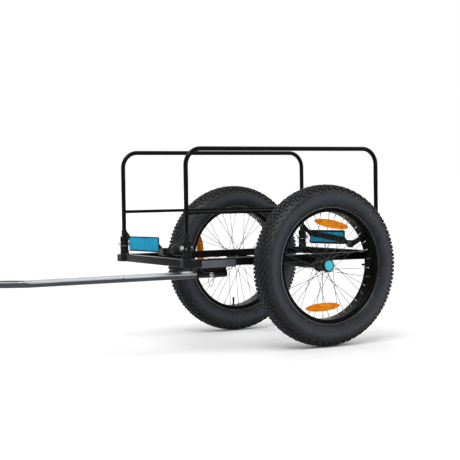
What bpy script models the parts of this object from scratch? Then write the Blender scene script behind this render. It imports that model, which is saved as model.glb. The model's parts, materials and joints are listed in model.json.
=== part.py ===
# Beach bike trailer for long boards: a low square-tube frame on two fat spoked wheels,
# with a removable side hoop on each side, two padded cargo belts and a drawbar on the left.
#
# Axes: X runs rearward, Y to the trailer's right, Z up, in metres.
# The pieces are placed from the ground point under the middle of the axle, and one empty
# then moves the whole trailer, so that the origin is the bottom centre of its box.

import math

import bmesh
import bpy
from mathutils import Matrix, Vector

# Gaps between pieces
SEAT_GAP = 0.0003
RUN_GAP = 0.0005

# Wheels
TRACK = 0.6608
TYRE_RADIUS = 0.292
TYRE_WIDTH = 0.0956
TYRE_WALL = 0.0042
TREAD_WIDTH = 0.060
TREAD_THICKNESS = 0.0065
BEAD_WIDTH = 0.0056
RIM_WIDTH = 0.0706
RIM_WALL = 0.0028
RIM_BARREL_RADIUS = 0.1929
RIM_FLANGE_RADIUS = 0.2107
RIM_SEAT_RISE = 0.0078
RIM_BARREL_WIDTH = 0.060
WHEEL_STEPS = 36

# Hubs, measured along the axle from the wheel's middle plane, outboard positive
HUB_INNER_END = -0.0424
HUB_OUTER_END = 0.0140
HUB_BODY_RADIUS = 0.0175
HUB_NOSE_RADIUS = 0.0200
HUB_NOSE_LENGTH = 0.0012
HUB_BORE_RADIUS = 0.0100
FLANGE_RADIUS = 0.0245
FLANGE_THICKNESS = 0.0040
HUB_STEPS = 16

# Spokes
SPOKE_COUNT = 36
SPOKE_CROSSES = 3
SPOKE_THICKNESS = 0.0020
SPOKE_CIRCLE_RADIUS = 0.0212
SPOKE_RIM_OFFSET = 0.0035
NIPPLE_THICKNESS = 0.0036
NIPPLE_LENGTH = 0.014

# Bearings and quick-release axles
BEARING_RADIUS = 0.0140
BEARING_WIDTH = 0.0080
AXLE_RADIUS = 0.0060
AXLE_REACH = 0.030
AXLE_TIP = 0.002
AXLE_HEAD_RADIUS = 0.0225
AXLE_HEAD_THICKNESS = 0.0086
BUTTON_RADIUS = 0.0180
BUTTON_DOME = 0.0022
BUTTON_SKIRT = 0.0024
BUTTON_TRAVEL = 0.0030
AXLE_STEPS = 16

# Valves and wheel reflectors
VALVE_RADIUS = 0.0042
VALVE_LENGTH = 0.033
REFLECTOR_LENGTH = 0.148
REFLECTOR_HEIGHT = 0.030
REFLECTOR_THICKNESS = 0.0040
REFLECTOR_INSET = 0.0429
LEFT_VALVE_ANGLE = math.radians(-1.5)
RIGHT_VALVE_ANGLE = math.radians(-91.5)
REFLECTOR_ANGLES = (math.radians(83.5), math.radians(263.5))
REFLECTOR_LEANS = (math.radians(3), math.radians(-10))

# Frame tubes and corner nodes
FRAME_RISE = 0.0255
POST_INSET = 0.07655
FRONT_POST_X = -0.5226
REAR_POST_X = 0.2830
TUBE = 0.0270
TUBE_WALL = 0.0020
TUBE_CORNER = 0.0045
NODE_WIDTH = 0.0320
NODE_NOSE = 0.0234
NODE_TAIL = 0.0450
NODE_ARM = 0.0120
NODE_ARM_WIDTH = 0.0300
SPIGOT_LENGTH = 0.030
END_CHAMFER = 0.002
SOCKET_RADIUS = 0.0155
SOCKET_RIB_DEPTH = 0.0013
SOCKET_RIBS = 8
SOCKET_HEIGHT = 0.0670
SOCKET_COLLAR = 0.0060
SOCKET_FLOOR = 0.0050

# Axle beam and axle bushes
BEAM_DEPTH = 0.0260
BUSH_RADIUS = 0.0170
BUSH_SPIGOT = 0.032

# Side hoops
HOOP_RISE = 0.3963
HOOP_RAIL_RISE = 0.1737
HOOP_RADIUS = 0.0080
HOOP_RAIL_RADIUS = 0.0058
HOOP_BEND = 0.058
HOOP_STEPS = 12
HOOP_BEND_STEPS = 5

# Lock pins with wire bails
PIN_RADIUS = 0.0030
PIN_RISE = 0.0545
PIN_HEAD_RADIUS = 0.0075
PIN_HEAD_LENGTH = 0.0080
PIN_TIP = 0.0060
PIN_CHAMFER = 0.0010
BAIL_RADIUS = 0.0011
BAIL_CORNER = 0.0020
BAIL_ARC_STEPS = 8
HOOP_BAIL_DEPTH = 0.0225
DRAWBAR_BAIL_DEPTH = 0.0450
LANYARD_RADIUS = 0.0015
LANYARD_SPACING = 0.0085

# Drawbar and its bracket
DRAWBAR_INSET = 0.04885
DRAWBAR_RADIUS = 0.0130
DRAWBAR_WALL = 0.0020
DRAWBAR_REAR_X = -0.3430
DRAWBAR_BEND_X = -1.0900
DRAWBAR_BEND_ANGLE = math.radians(32)
DRAWBAR_BEND_RADIUS = 0.090
DRAWBAR_BEND_STEPS = 4
DRAWBAR_SHIFT = 0.120
DRAWBAR_NECK = 0.075
DRAWBAR_STEPS = 12
SHORT_HOLE_X = -0.7480
SADDLE_FRONT_X = -0.4736
SADDLE_REAR_X = -0.3381
SADDLE_WALL = 0.0035
SADDLE_CHEEK = 0.0215
SADDLE_LEDGE = 0.003
RECEIVER_FRONT_X = -0.4650
RECEIVER_REAR_X = -0.3450
RECEIVER_WALL = 0.0030
RECEIVER_SKIRT = 0.0065
RECEIVER_PEDESTAL = 0.0101
RECEIVER_PEDESTAL_WIDTH = 0.0200
RECEIVER_RING = 0.0060
DRAWBAR_PIN_X = -0.4110

# Hitch universal joint
HITCH_PLUG = 0.025
HITCH_SHOULDER = 0.006
HITCH_PIVOT = 0.025
JAW_THICKNESS = 0.005
JAW_WIDTH = 0.013
CROSS_WIDTH = 0.018
CROSS_HEIGHT = 0.014
CROSS_LENGTH = 0.014
HITCH_PIN_RADIUS = 0.0036
HITCH_PIN_STEPS = 12
CHEEK_THICKNESS = 0.004
CHEEK_HEIGHT = 0.0120
FORK_REACH = 0.022
FORK_BRIDGE = 0.005
HITCH_PLATE_LENGTH = 0.048
HITCH_PLATE_WIDTH = 0.028
HITCH_PLATE_THICKNESS = 0.005
HITCH_HOLE_RADIUS = 0.0053

# Cargo belts
STRAP_WIDTH = 0.0230
STRAP_THICKNESS = 0.0016
STRAP_LIFT = 0.0008
STRAP_BUCKLE_DROP = 0.0583
STRAP_INNER_DROP = 0.0443
STRAP_OUTER_DROP = 0.0223
PAD_INNER_Y = -0.045
PAD_INSET = 0.05385
PAD_HEIGHT = 0.055
PAD_INNER_DROP = 0.0343
PAD_OUTER_DROP = 0.0378
PAD_EDGE = 0.0022
PAD_CROWN = 0.0040
BUCKLE_Y = -0.085
BUCKLE_LENGTH = 0.030
BUCKLE_WALL = 0.0025
BUCKLE_DEPTH = 0.0110
LEVER_PIVOT_DEPTH = 0.0062
LEVER_PIN_RADIUS = 0.0018
LEVER_CAM_RADIUS = 0.0048
LEVER_LENGTH = 0.026
LEVER_PLATE = 0.0022

# Places worked out from the sizes
AXLE_Z = TYRE_RADIUS
TUBE_Z = AXLE_Z + FRAME_RISE
WHEEL_Y = TRACK / 2
POST_Y = WHEEL_Y - POST_INSET
REFLECTOR_CIRCLE_RADIUS = RIM_BARREL_RADIUS - REFLECTOR_INSET
DRAWBAR_Y = DRAWBAR_INSET - POST_Y
PAD_OUTER_Y = POST_Y - PAD_INSET
PIN_Z = TUBE_Z + PIN_RISE
PIN_HOLE_RADIUS = PIN_RADIUS + SEAT_GAP
BEAM_HEIGHT = 2 * (FRAME_RISE - TUBE / 2 - SEAT_GAP)
BEAM_END = POST_Y + TUBE / 2 + SEAT_GAP
CROSS_TUBE_END = POST_Y - NODE_WIDTH / 2 - NODE_ARM - SEAT_GAP
RECEIVER_RADIUS = DRAWBAR_RADIUS + SEAT_GAP + RECEIVER_WALL
SADDLE_BOTTOM = TUBE_Z - TUBE / 2 - SEAT_GAP - SADDLE_WALL
RECEIVER_TOP = RECEIVER_RADIUS + RECEIVER_PEDESTAL
DRAWBAR_Z = SADDLE_BOTTOM - SEAT_GAP - RECEIVER_TOP
BEND_RUN = DRAWBAR_SHIFT / math.tan(DRAWBAR_BEND_ANGLE)
DRAWBAR_FRONT_X = DRAWBAR_BEND_X - BEND_RUN - DRAWBAR_NECK
HITCH_Y = DRAWBAR_Y + DRAWBAR_SHIFT
HITCH_X = DRAWBAR_FRONT_X - HITCH_PIVOT
HITCH_FRONT_X = HITCH_X - FORK_REACH - FORK_BRIDGE - HITCH_PLATE_LENGTH
STRAP_Z = TUBE_Z + TUBE / 2 + SOCKET_HEIGHT + STRAP_LIFT + STRAP_WIDTH / 2

LEFT, RIGHT = -1, 1
FRONT, REAR = -1, 1
SIDE_NAME = {LEFT: "left", RIGHT: "right"}
END_NAME = {FRONT: "front", REAR: "rear"}
POST_X = {FRONT: FRONT_POST_X, REAR: REAR_POST_X}


# Scene, materials and objects

def clear_scene():
    for thing in list(bpy.data.objects):
        bpy.data.objects.remove(thing, do_unlink=True)


def make_material(name, colour, roughness, metallic):
    material = bpy.data.materials.new(name)
    material.use_nodes = True
    shader = material.node_tree.nodes["Principled BSDF"]
    shader.inputs["Base Color"].default_value = (*colour, 1.0)
    shader.inputs["Roughness"].default_value = roughness
    shader.inputs["Metallic"].default_value = metallic
    return material


def make_materials():
    return {
        "black_paint": make_material("black_paint", (0.012, 0.012, 0.013), 0.28, 0.0),
        "black_plastic": make_material("black_plastic", (0.016, 0.016, 0.017), 0.55, 0.0),
        "grey_anodised": make_material("grey_anodised", (0.10, 0.115, 0.12), 0.5, 0.6),
        "bare_aluminium": make_material("bare_aluminium", (0.56, 0.58, 0.60), 0.35, 1.0),
        "dark_steel": make_material("dark_steel", (0.05, 0.05, 0.052), 0.4, 0.9),
        "zinc_steel": make_material("zinc_steel", (0.62, 0.62, 0.60), 0.3, 1.0),
        "tyre_rubber": make_material("tyre_rubber", (0.022, 0.023, 0.026), 0.8, 0.0),
        "amber_plastic": make_material("amber_plastic", (0.80, 0.25, 0.005), 0.2, 0.0),
        "teal_plastic": make_material("teal_plastic", (0.015, 0.50, 0.62), 0.35, 0.0),
        "teal_fabric": make_material("teal_fabric", (0.0, 0.31, 0.49), 0.85, 0.0),
        "black_webbing": make_material("black_webbing", (0.014, 0.014, 0.015), 0.9, 0.0),
        "cord_black": make_material("cord_black", (0.012, 0.012, 0.012), 0.5, 0.0),
    }


def add_empty(name, location, parent=None):
    empty = bpy.data.objects.new(name, None)
    bpy.context.collection.objects.link(empty)
    empty.location = location
    empty.parent = parent
    return empty


def add_object(name, mesh, material, parent, location=(0.0, 0.0, 0.0)):
    mesh.name = name
    mesh.materials.clear()
    mesh.materials.append(material)
    mesh.shade_smooth()
    mesh.set_sharp_from_angle(angle=math.radians(40))
    thing = bpy.data.objects.new(name, mesh)
    bpy.context.collection.objects.link(thing)
    thing.parent = parent
    thing.location = location
    return thing


# Solids

def finished(bm):
    bmesh.ops.recalc_face_normals(bm, faces=bm.faces)
    mesh = bpy.data.meshes.new("solid")
    bm.to_mesh(mesh)
    bm.free()
    return mesh


def bridge(bm, first, second):
    """Quads between two closed rows of vertices."""
    for i in range(len(first)):
        j = (i + 1) % len(first)
        bm.faces.new((first[i], first[j], second[j], second[i]))


def loft(rings):
    """A solid through rings of points, flat at both ends."""
    bm = bmesh.new()
    rows = [[bm.verts.new(point) for point in ring] for ring in rings]
    for first, second in zip(rows, rows[1:]):
        bridge(bm, first, second)
    bm.faces.new(rows[0])
    bm.faces.new(rows[-1])
    return finished(bm)


def hollow_loft(outer_rings, inner_rings):
    """A tube through pairs of rings, open at both ends."""
    bm = bmesh.new()
    outer = [[bm.verts.new(point) for point in ring] for ring in outer_rings]
    inner = [[bm.verts.new(point) for point in ring] for ring in inner_rings]
    for rows in (outer, inner):
        for first, second in zip(rows, rows[1:]):
            bridge(bm, first, second)
    bridge(bm, outer[0], inner[0])
    bridge(bm, outer[-1], inner[-1])
    return finished(bm)


def revolve(profile, steps):
    """A ring about Y from a closed outline of (radius, y) points."""
    bm = bmesh.new()
    rows = []
    for step in range(steps):
        angle = 2 * math.pi * step / steps
        rows.append([
            bm.verts.new((radius * math.cos(angle), y, radius * math.sin(angle)))
            for radius, y in profile
        ])
    for step in range(steps):
        bridge(bm, rows[step], rows[(step + 1) % steps])
    return finished(bm)


def polygon(radius, steps, turn=0.0):
    return [
        (radius * math.cos(turn + 2 * math.pi * i / steps), radius * math.sin(turn + 2 * math.pi * i / steps))
        for i in range(steps)
    ]


def rounded_rectangle(width, height, corner, steps=2):
    """An outline about the origin, with each corner an arc of a few chords."""
    points = []
    for quarter, (side, up) in enumerate(((1, 1), (-1, 1), (-1, -1), (1, -1))):
        for step in range(steps + 1):
            angle = math.pi / 2 * (quarter + step / steps)
            points.append((
                side * (width / 2 - corner) + corner * math.cos(angle),
                up * (height / 2 - corner) + corner * math.sin(angle),
            ))
    return points


def along_x(outline, x):
    return [(x, y, z) for y, z in outline]


def along_y(outline, y):
    return [(x, y, z) for x, z in outline]


def along_z(outline, z):
    return [(x, y, z) for x, y in outline]


def scaled(outline, factor):
    return [(a * factor, b * factor) for a, b in outline]


def moved(mesh, offset):
    mesh.transform(Matrix.Translation(offset))
    return mesh


def mirrored(mesh, flip_x, flip_y):
    """A copy of a mesh, mirrored across X, Y or both."""
    copy = mesh.copy()
    copy.transform(Matrix.Diagonal((-1 if flip_x else 1, -1 if flip_y else 1, 1, 1)))
    if flip_x != flip_y:
        copy.flip_normals()
    return copy


def combined(base, tools, operation):
    """The base mesh joined with, or cut by, each tool mesh in turn."""
    work = bpy.data.objects.new("work", base)
    bpy.context.collection.objects.link(work)
    helpers = []
    for tool in tools:
        helper = bpy.data.objects.new("tool", tool)
        bpy.context.collection.objects.link(helper)
        helper.hide_render = True
        helper.display_type = "WIRE"
        boolean = work.modifiers.new("boolean", "BOOLEAN")
        boolean.operation = operation
        boolean.solver = "EXACT"
        boolean.object = helper
        helpers.append(helper)
    bpy.context.view_layer.update()
    result = bpy.data.meshes.new_from_object(work.evaluated_get(bpy.context.evaluated_depsgraph_get()))
    for thing in [work, *helpers]:
        bpy.data.objects.remove(thing, do_unlink=True)
    return result


def joined(base, *tools):
    return combined(base, tools, "UNION")


def cut(base, *tools):
    return combined(base, tools, "DIFFERENCE")


def turned(stations, steps, axis="Y", turn=0.0):
    """A solid of round sections given as (place, radius), along X, Y or Z."""
    place_ring = {"X": along_x, "Y": along_y, "Z": along_z}[axis]
    return loft([place_ring(polygon(radius, steps, turn), place) for place, radius in stations])


def rod(start, end, radius, steps, axis="Y", turn=0.0):
    return turned([(start, radius), (end, radius)], steps, axis, turn)


def rounded_path(corners, radius, steps, least_turn=math.radians(20)):
    """The corner points, with each sharp inner corner replaced by an arc."""
    path = [Vector(corners[0])]
    for before, corner, after in zip(corners, corners[1:], corners[2:]):
        corner = Vector(corner)
        into = (corner - Vector(before)).normalized()
        out = (Vector(after) - corner).normalized()
        bend = into.angle(out)
        if bend < least_turn:
            path.append(corner)
            continue
        start = corner - into * radius * math.tan(bend / 2)
        centre = corner + (out - into).normalized() * radius / math.cos(bend / 2)
        axis = into.cross(out).normalized()
        for step in range(steps + 1):
            turn = Matrix.Rotation(bend * step / steps, 3, axis)
            path.append(centre + turn @ (start - centre))
    path.append(Vector(corners[-1]))
    return path


def sweep_rings(path, radius, steps, up):
    """Rings of a round section carried along a path without twisting."""
    rings = []
    side = None
    for index, point in enumerate(path):
        before = path[max(index - 1, 0)]
        after = path[min(index + 1, len(path) - 1)]
        heading = (after - before).normalized()
        if side is None:
            side = Vector(up).cross(heading).normalized()
        side = (side - heading * side.dot(heading)).normalized()
        lift = heading.cross(side)
        rings.append([point + side * a + lift * b for a, b in polygon(radius, steps)])
    return rings


# Wheels: each is built with its middle plane at Y = 0 and its outboard side at +Y

def tyre_mesh():
    """A hollow tyre: bead, side wall, shoulder and crown, with the inside open to the rim."""
    seat = RIM_BARREL_RADIUS + RIM_SEAT_RISE + SEAT_GAP
    bead = RIM_WIDTH / 2 - RIM_WALL - SEAT_GAP
    widest = TYRE_WIDTH / 2
    depth = TYRE_RADIUS - RIM_FLANGE_RADIUS
    over_flange = RIM_FLANGE_RADIUS + SEAT_GAP
    outside = [
        (seat, bead - 0.0010),
        (over_flange, bead),
        (RIM_FLANGE_RADIUS + 0.15 * depth, bead + 0.75 * (widest - bead)),
        (RIM_FLANGE_RADIUS + 0.42 * depth, widest),
        (RIM_FLANGE_RADIUS + 0.74 * depth, widest - 0.10 * widest),
        (TYRE_RADIUS - 0.6 * TREAD_THICKNESS, TREAD_WIDTH / 2),
        (TYRE_RADIUS, TREAD_WIDTH / 5),
    ]
    inside = [
        (TYRE_RADIUS - TREAD_THICKNESS, TREAD_WIDTH / 5),
        (RIM_FLANGE_RADIUS + 0.68 * depth, widest - 0.10 * widest - TYRE_WALL),
        (RIM_FLANGE_RADIUS + 0.40 * depth, widest - TYRE_WALL),
        (seat, bead - 0.0010 - BEAD_WIDTH),
    ]
    outer_loop = outside + [(radius, -y) for radius, y in reversed(outside)]
    inner_loop = [(radius, -y) for radius, y in reversed(inside)] + inside
    return revolve(outer_loop + inner_loop, WHEEL_STEPS)


def rim_mesh(valve_angle):
    """A wide single-wall rim with the valve stem through its barrel."""
    edge = RIM_WIDTH / 2
    barrel = RIM_BARREL_WIDTH / 2
    shoulder = RIM_BARREL_RADIUS + RIM_SEAT_RISE
    half = [
        (RIM_BARREL_RADIUS, barrel),
        (RIM_BARREL_RADIUS + 0.4 * RIM_SEAT_RISE, edge),
        (RIM_FLANGE_RADIUS, edge),
        (RIM_FLANGE_RADIUS, edge - RIM_WALL),
        (shoulder, edge - RIM_WALL - 0.0010),
        (RIM_BARREL_RADIUS + RIM_WALL, edge - RIM_WALL - 0.0085),
    ]
    rim = revolve(half + [(radius, -y) for radius, y in reversed(half)], WHEEL_STEPS)
    wall_middle = RIM_BARREL_RADIUS + RIM_WALL / 2
    stem = turned(
        [
            (RIM_BARREL_RADIUS - VALVE_LENGTH, 0.8 * VALVE_RADIUS),
            (RIM_BARREL_RADIUS - 0.94 * VALVE_LENGTH, VALVE_RADIUS),
            (RIM_BARREL_RADIUS - 0.55 * VALVE_LENGTH, VALVE_RADIUS),
            (RIM_BARREL_RADIUS - 0.45 * VALVE_LENGTH, 0.75 * VALVE_RADIUS),
            (wall_middle, 0.9 * VALVE_RADIUS),
        ],
        8, "X",
    )
    stem.transform(Matrix.Rotation(-valve_angle, 4, "Y"))
    return joined(rim, stem)


def spoke_rings(start, end):
    """A square spoke with its thicker nipple at the rim end."""
    heading = (end - start).normalized()
    side = heading.cross(Vector((0, 1, 0))).normalized()
    lift = side.cross(heading)
    nipple = end - heading * NIPPLE_LENGTH
    rings = []
    stations = (
        (start, SPOKE_THICKNESS),
        (nipple, SPOKE_THICKNESS),
        (nipple + heading * SPOKE_THICKNESS, NIPPLE_THICKNESS),
        (end, NIPPLE_THICKNESS),
    )
    for point, thickness in stations:
        half = thickness / 2
        rings.append([
            point + side * half * a + lift * half * b
            for a, b in ((1, 1), (-1, 1), (-1, -1), (1, -1))
        ])
    return rings


def spoke_ends(index):
    """Hub and rim ends of one spoke: sides alternate, and so do leading and trailing spokes."""
    outer_side = index % 2 == 0
    leading = index % 4 < 2
    rim_angle = 2 * math.pi * (index + 0.5) / SPOKE_COUNT
    swing = 2 * math.pi * 2 * SPOKE_CROSSES / SPOKE_COUNT
    hub_angle = rim_angle + (swing if leading else -swing)
    flange = flange_places()[1 if outer_side else 0]
    face = FLANGE_THICKNESS / 2 if leading else -FLANGE_THICKNESS / 2
    rim_radius = RIM_BARREL_RADIUS * math.cos(math.pi / WHEEL_STEPS) - 2 * SEAT_GAP
    rim_y = SPOKE_RIM_OFFSET if outer_side else -SPOKE_RIM_OFFSET
    start = Vector((
        SPOKE_CIRCLE_RADIUS * math.cos(hub_angle), flange + face, SPOKE_CIRCLE_RADIUS * math.sin(hub_angle)))
    end = Vector((rim_radius * math.cos(rim_angle), rim_y, rim_radius * math.sin(rim_angle)))
    return start, end


def flange_places():
    """Middle planes of the inner and the outer hub flange."""
    inset = HUB_NOSE_LENGTH + FLANGE_THICKNESS / 2
    return HUB_INNER_END + inset, HUB_OUTER_END - inset


def hub_mesh():
    """A turned hub shell with two flanges and bearing seats, and its laced spokes."""
    seat = BEARING_RADIUS + SEAT_GAP
    depth = BEARING_WIDTH + SEAT_GAP
    inner, outer = flange_places()
    half_flange = FLANGE_THICKNESS / 2
    profile = [
        (seat, HUB_INNER_END),
        (HUB_NOSE_RADIUS, HUB_INNER_END),
        (HUB_NOSE_RADIUS, inner - half_flange),
        (FLANGE_RADIUS, inner - half_flange),
        (FLANGE_RADIUS, inner + half_flange),
        (HUB_BODY_RADIUS, inner + half_flange),
        (HUB_BODY_RADIUS, outer - half_flange),
        (FLANGE_RADIUS, outer - half_flange),
        (FLANGE_RADIUS, outer + half_flange),
        (HUB_NOSE_RADIUS, outer + half_flange),
        (HUB_NOSE_RADIUS, HUB_OUTER_END),
        (seat, HUB_OUTER_END),
        (seat, HUB_OUTER_END - depth),
        (HUB_BORE_RADIUS, HUB_OUTER_END - depth),
        (HUB_BORE_RADIUS, HUB_INNER_END + depth),
        (seat, HUB_INNER_END + depth),
    ]
    shell = revolve(profile, HUB_STEPS)
    bm = bmesh.new()
    for index in range(SPOKE_COUNT):
        rows = [[bm.verts.new(point) for point in ring] for ring in spoke_rings(*spoke_ends(index))]
        for first, second in zip(rows, rows[1:]):
            bridge(bm, first, second)
        bm.faces.new(rows[0])
        bm.faces.new(rows[-1])
    return joined(shell, finished(bm))


def bearing_mesh():
    half = BEARING_WIDTH / 2
    bore = AXLE_RADIUS + SEAT_GAP
    return revolve([(bore, -half), (BEARING_RADIUS, -half), (BEARING_RADIUS, half), (bore, half)], HUB_STEPS)


def reflector_mesh(angle, lean):
    """A long oval plate, set along the spoke circle and leaning a little about its own centre."""
    steps = 16
    outline = []
    for step in range(steps):
        turn = 2 * math.pi * step / steps
        outline.append((REFLECTOR_LENGTH / 2 * math.cos(turn), REFLECTOR_HEIGHT / 2 * math.sin(turn)))
    back = reflector_back()
    plate = loft([
        along_y(outline, back),
        along_y(outline, back + 0.6 * REFLECTOR_THICKNESS),
        along_y(scaled(outline, 0.93), back + REFLECTOR_THICKNESS),
    ])
    plate.transform(Matrix.Rotation(lean, 4, "Y"))
    moved(plate, (0, 0, REFLECTOR_CIRCLE_RADIUS))
    plate.transform(Matrix.Rotation(math.pi / 2 - angle, 4, "Y"))
    return plate


def reflector_back():
    """Height of the outermost spoke faces where the reflectors clip on."""
    start, end = spoke_ends(0)
    reach = (REFLECTOR_CIRCLE_RADIUS - 0.3 * REFLECTOR_HEIGHT - SPOKE_CIRCLE_RADIUS) / (
        RIM_BARREL_RADIUS - SPOKE_CIRCLE_RADIUS)
    return start.y + (end.y - start.y) * reach + SPOKE_THICKNESS / 2 + SEAT_GAP


def axle_mesh():
    """A quick-release axle: a shaft, and a round head with a well for the button."""
    head_back = HUB_OUTER_END + RUN_GAP
    head_front = head_back + AXLE_HEAD_THICKNESS
    tip = (BEAM_END - AXLE_REACH) - WHEEL_Y
    body = turned(
        [
            (tip, AXLE_RADIUS - AXLE_TIP),
            (tip + AXLE_TIP, AXLE_RADIUS),
            (head_back, AXLE_RADIUS),
            (head_back, AXLE_HEAD_RADIUS - END_CHAMFER / 2),
            (head_back + END_CHAMFER, AXLE_HEAD_RADIUS),
            (head_front - END_CHAMFER / 2, AXLE_HEAD_RADIUS),
            (head_front, AXLE_HEAD_RADIUS - END_CHAMFER / 2),
        ],
        AXLE_STEPS,
    )
    floor = button_back() - BUTTON_TRAVEL - 2 * SEAT_GAP
    return cut(body, rod(floor, head_front + END_CHAMFER, BUTTON_RADIUS + SEAT_GAP, AXLE_STEPS))


def button_back():
    """Back face of the button at rest, with its skirt inside the axle's head."""
    return HUB_OUTER_END + RUN_GAP + AXLE_HEAD_THICKNESS - BUTTON_SKIRT


def button_mesh():
    back = button_back()
    front = back + BUTTON_SKIRT
    return turned(
        [
            (back, BUTTON_RADIUS),
            (front, BUTTON_RADIUS),
            (front + 0.7 * BUTTON_DOME, 0.8 * BUTTON_RADIUS),
            (front + BUTTON_DOME, 0.4 * BUTTON_RADIUS),
        ],
        AXLE_STEPS,
    )


def build_wheel(side, valve_angle, materials, trailer):
    name = SIDE_NAME[side]
    hub = add_empty(f"wheel_{name}_axis", (0, side * WHEEL_Y, AXLE_Z), trailer)
    upper_angle, lower_angle = REFLECTOR_ANGLES
    upper_lean, lower_lean = REFLECTOR_LEANS
    pieces = {
        "tyre": (tyre_mesh(), "tyre_rubber"),
        "rim": (rim_mesh(valve_angle), "black_paint"),
        "hub_and_spokes": (hub_mesh(), "dark_steel"),
        "bearing_inner": (moved(bearing_mesh(), (0, HUB_INNER_END + BEARING_WIDTH / 2, 0)), "zinc_steel"),
        "bearing_outer": (moved(bearing_mesh(), (0, HUB_OUTER_END - BEARING_WIDTH / 2, 0)), "zinc_steel"),
        "reflector_upper": (reflector_mesh(valve_angle + upper_angle, upper_lean), "amber_plastic"),
        "reflector_lower": (reflector_mesh(valve_angle + lower_angle, lower_lean), "amber_plastic"),
        "axle": (axle_mesh(), "black_plastic"),
        "release_button": (button_mesh(), "teal_plastic"),
    }
    for piece, (mesh, slot) in pieces.items():
        if side == LEFT:
            mesh = mirrored(mesh, False, True)
        add_object(f"wheel_{name}_{piece}", mesh, materials[slot], hub)


# Frame

def square_tube(length, axis_ring):
    outer = rounded_rectangle(TUBE, TUBE, TUBE_CORNER)
    inner = rounded_rectangle(TUBE - 2 * TUBE_WALL, TUBE - 2 * TUBE_WALL, TUBE_CORNER - TUBE_WALL)
    ends = (-length / 2, length / 2)
    return hollow_loft([axis_ring(outer, end) for end in ends], [axis_ring(inner, end) for end in ends])


def corner_node_mesh():
    """The front left node, from its post's axis at the middle of the tubes."""
    body_outline = rounded_rectangle(NODE_WIDTH, TUBE, TUBE_CORNER)
    body = loft([
        along_x(scaled(body_outline, 0.86), -NODE_NOSE),
        along_x(body_outline, -NODE_NOSE + END_CHAMFER),
        along_x(body_outline, NODE_TAIL),
    ])
    arm_outline = rounded_rectangle(NODE_ARM_WIDTH, TUBE - SEAT_GAP, TUBE_CORNER)
    arm_end = NODE_WIDTH / 2 + NODE_ARM
    arm = loft([along_y(arm_outline, 0.0), along_y(arm_outline, arm_end)])
    plug = TUBE - 2 * TUBE_WALL - 2 * SEAT_GAP
    plug_outline = rounded_rectangle(plug, plug, TUBE_CORNER - TUBE_WALL, 1)
    overlap = TUBE_WALL
    side_spigot = loft([
        along_x(plug_outline, NODE_TAIL - overlap),
        along_x(plug_outline, NODE_TAIL + SPIGOT_LENGTH),
    ])
    cross_spigot = loft([
        along_y(plug_outline, arm_end - overlap),
        along_y(plug_outline, arm_end + SPIGOT_LENGTH),
    ])
    node = joined(body, arm, side_spigot, cross_spigot, socket_mesh())
    leg_floor = TUBE / 2 + SOCKET_FLOOR
    leg_bore = rod(leg_floor, leg_floor + 2 * SOCKET_HEIGHT, HOOP_RADIUS + SEAT_GAP, HOOP_STEPS, "Z")
    pin_hole = rod(-2 * SOCKET_RADIUS, 2 * SOCKET_RADIUS, PIN_HOLE_RADIUS, 8, "X")
    return cut(node, leg_bore, moved(pin_hole, (0, 0, PIN_RISE)))


def socket_mesh():
    """The upright socket: a ribbed barrel under a plain collar."""
    crest, root = SOCKET_RADIUS, SOCKET_RADIUS - SOCKET_RIB_DEPTH
    barrel = []
    for index, (x, y) in enumerate(polygon(1.0, 2 * SOCKET_RIBS)):
        radius = crest if index % 2 else root
        barrel.append((x * radius, y * radius))
    collar = polygon(SOCKET_RADIUS, 2 * SOCKET_RIBS)
    top = TUBE / 2 + SOCKET_HEIGHT
    return loft([
        along_z(barrel, TUBE / 2 - END_CHAMFER),
        along_z(barrel, top - SOCKET_COLLAR),
        along_z(collar, top - SOCKET_COLLAR),
        along_z(collar, top),
    ])


def build_frame(materials, trailer):
    front_end = FRONT_POST_X + NODE_TAIL + SEAT_GAP
    rear_end = REAR_POST_X - NODE_TAIL - SEAT_GAP
    for side in (LEFT, RIGHT):
        tube = square_tube(rear_end - front_end, along_x)
        place = ((front_end + rear_end) / 2, side * POST_Y, TUBE_Z)
        add_object(f"side_tube_{SIDE_NAME[side]}", tube, materials["black_paint"], trailer, place)
    for end in (FRONT, REAR):
        tube = square_tube(2 * CROSS_TUBE_END, along_y)
        add_object(f"cross_tube_{END_NAME[end]}", tube, materials["black_paint"], trailer, (POST_X[end], 0, TUBE_Z))
    node = corner_node_mesh()
    for end in (FRONT, REAR):
        for side in (LEFT, RIGHT):
            mesh = mirrored(node, end == REAR, side == RIGHT)
            name = f"corner_node_{END_NAME[end]}_{SIDE_NAME[side]}"
            add_object(name, mesh, materials["black_plastic"], trailer, (POST_X[end], side * POST_Y, TUBE_Z))


def beam_outlines():
    outer = rounded_rectangle(BEAM_DEPTH, BEAM_HEIGHT, TUBE_WALL)
    inner = rounded_rectangle(BEAM_DEPTH - 2 * TUBE_WALL, BEAM_HEIGHT - 2 * TUBE_WALL, TUBE_WALL / 2)
    return outer, inner


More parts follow.
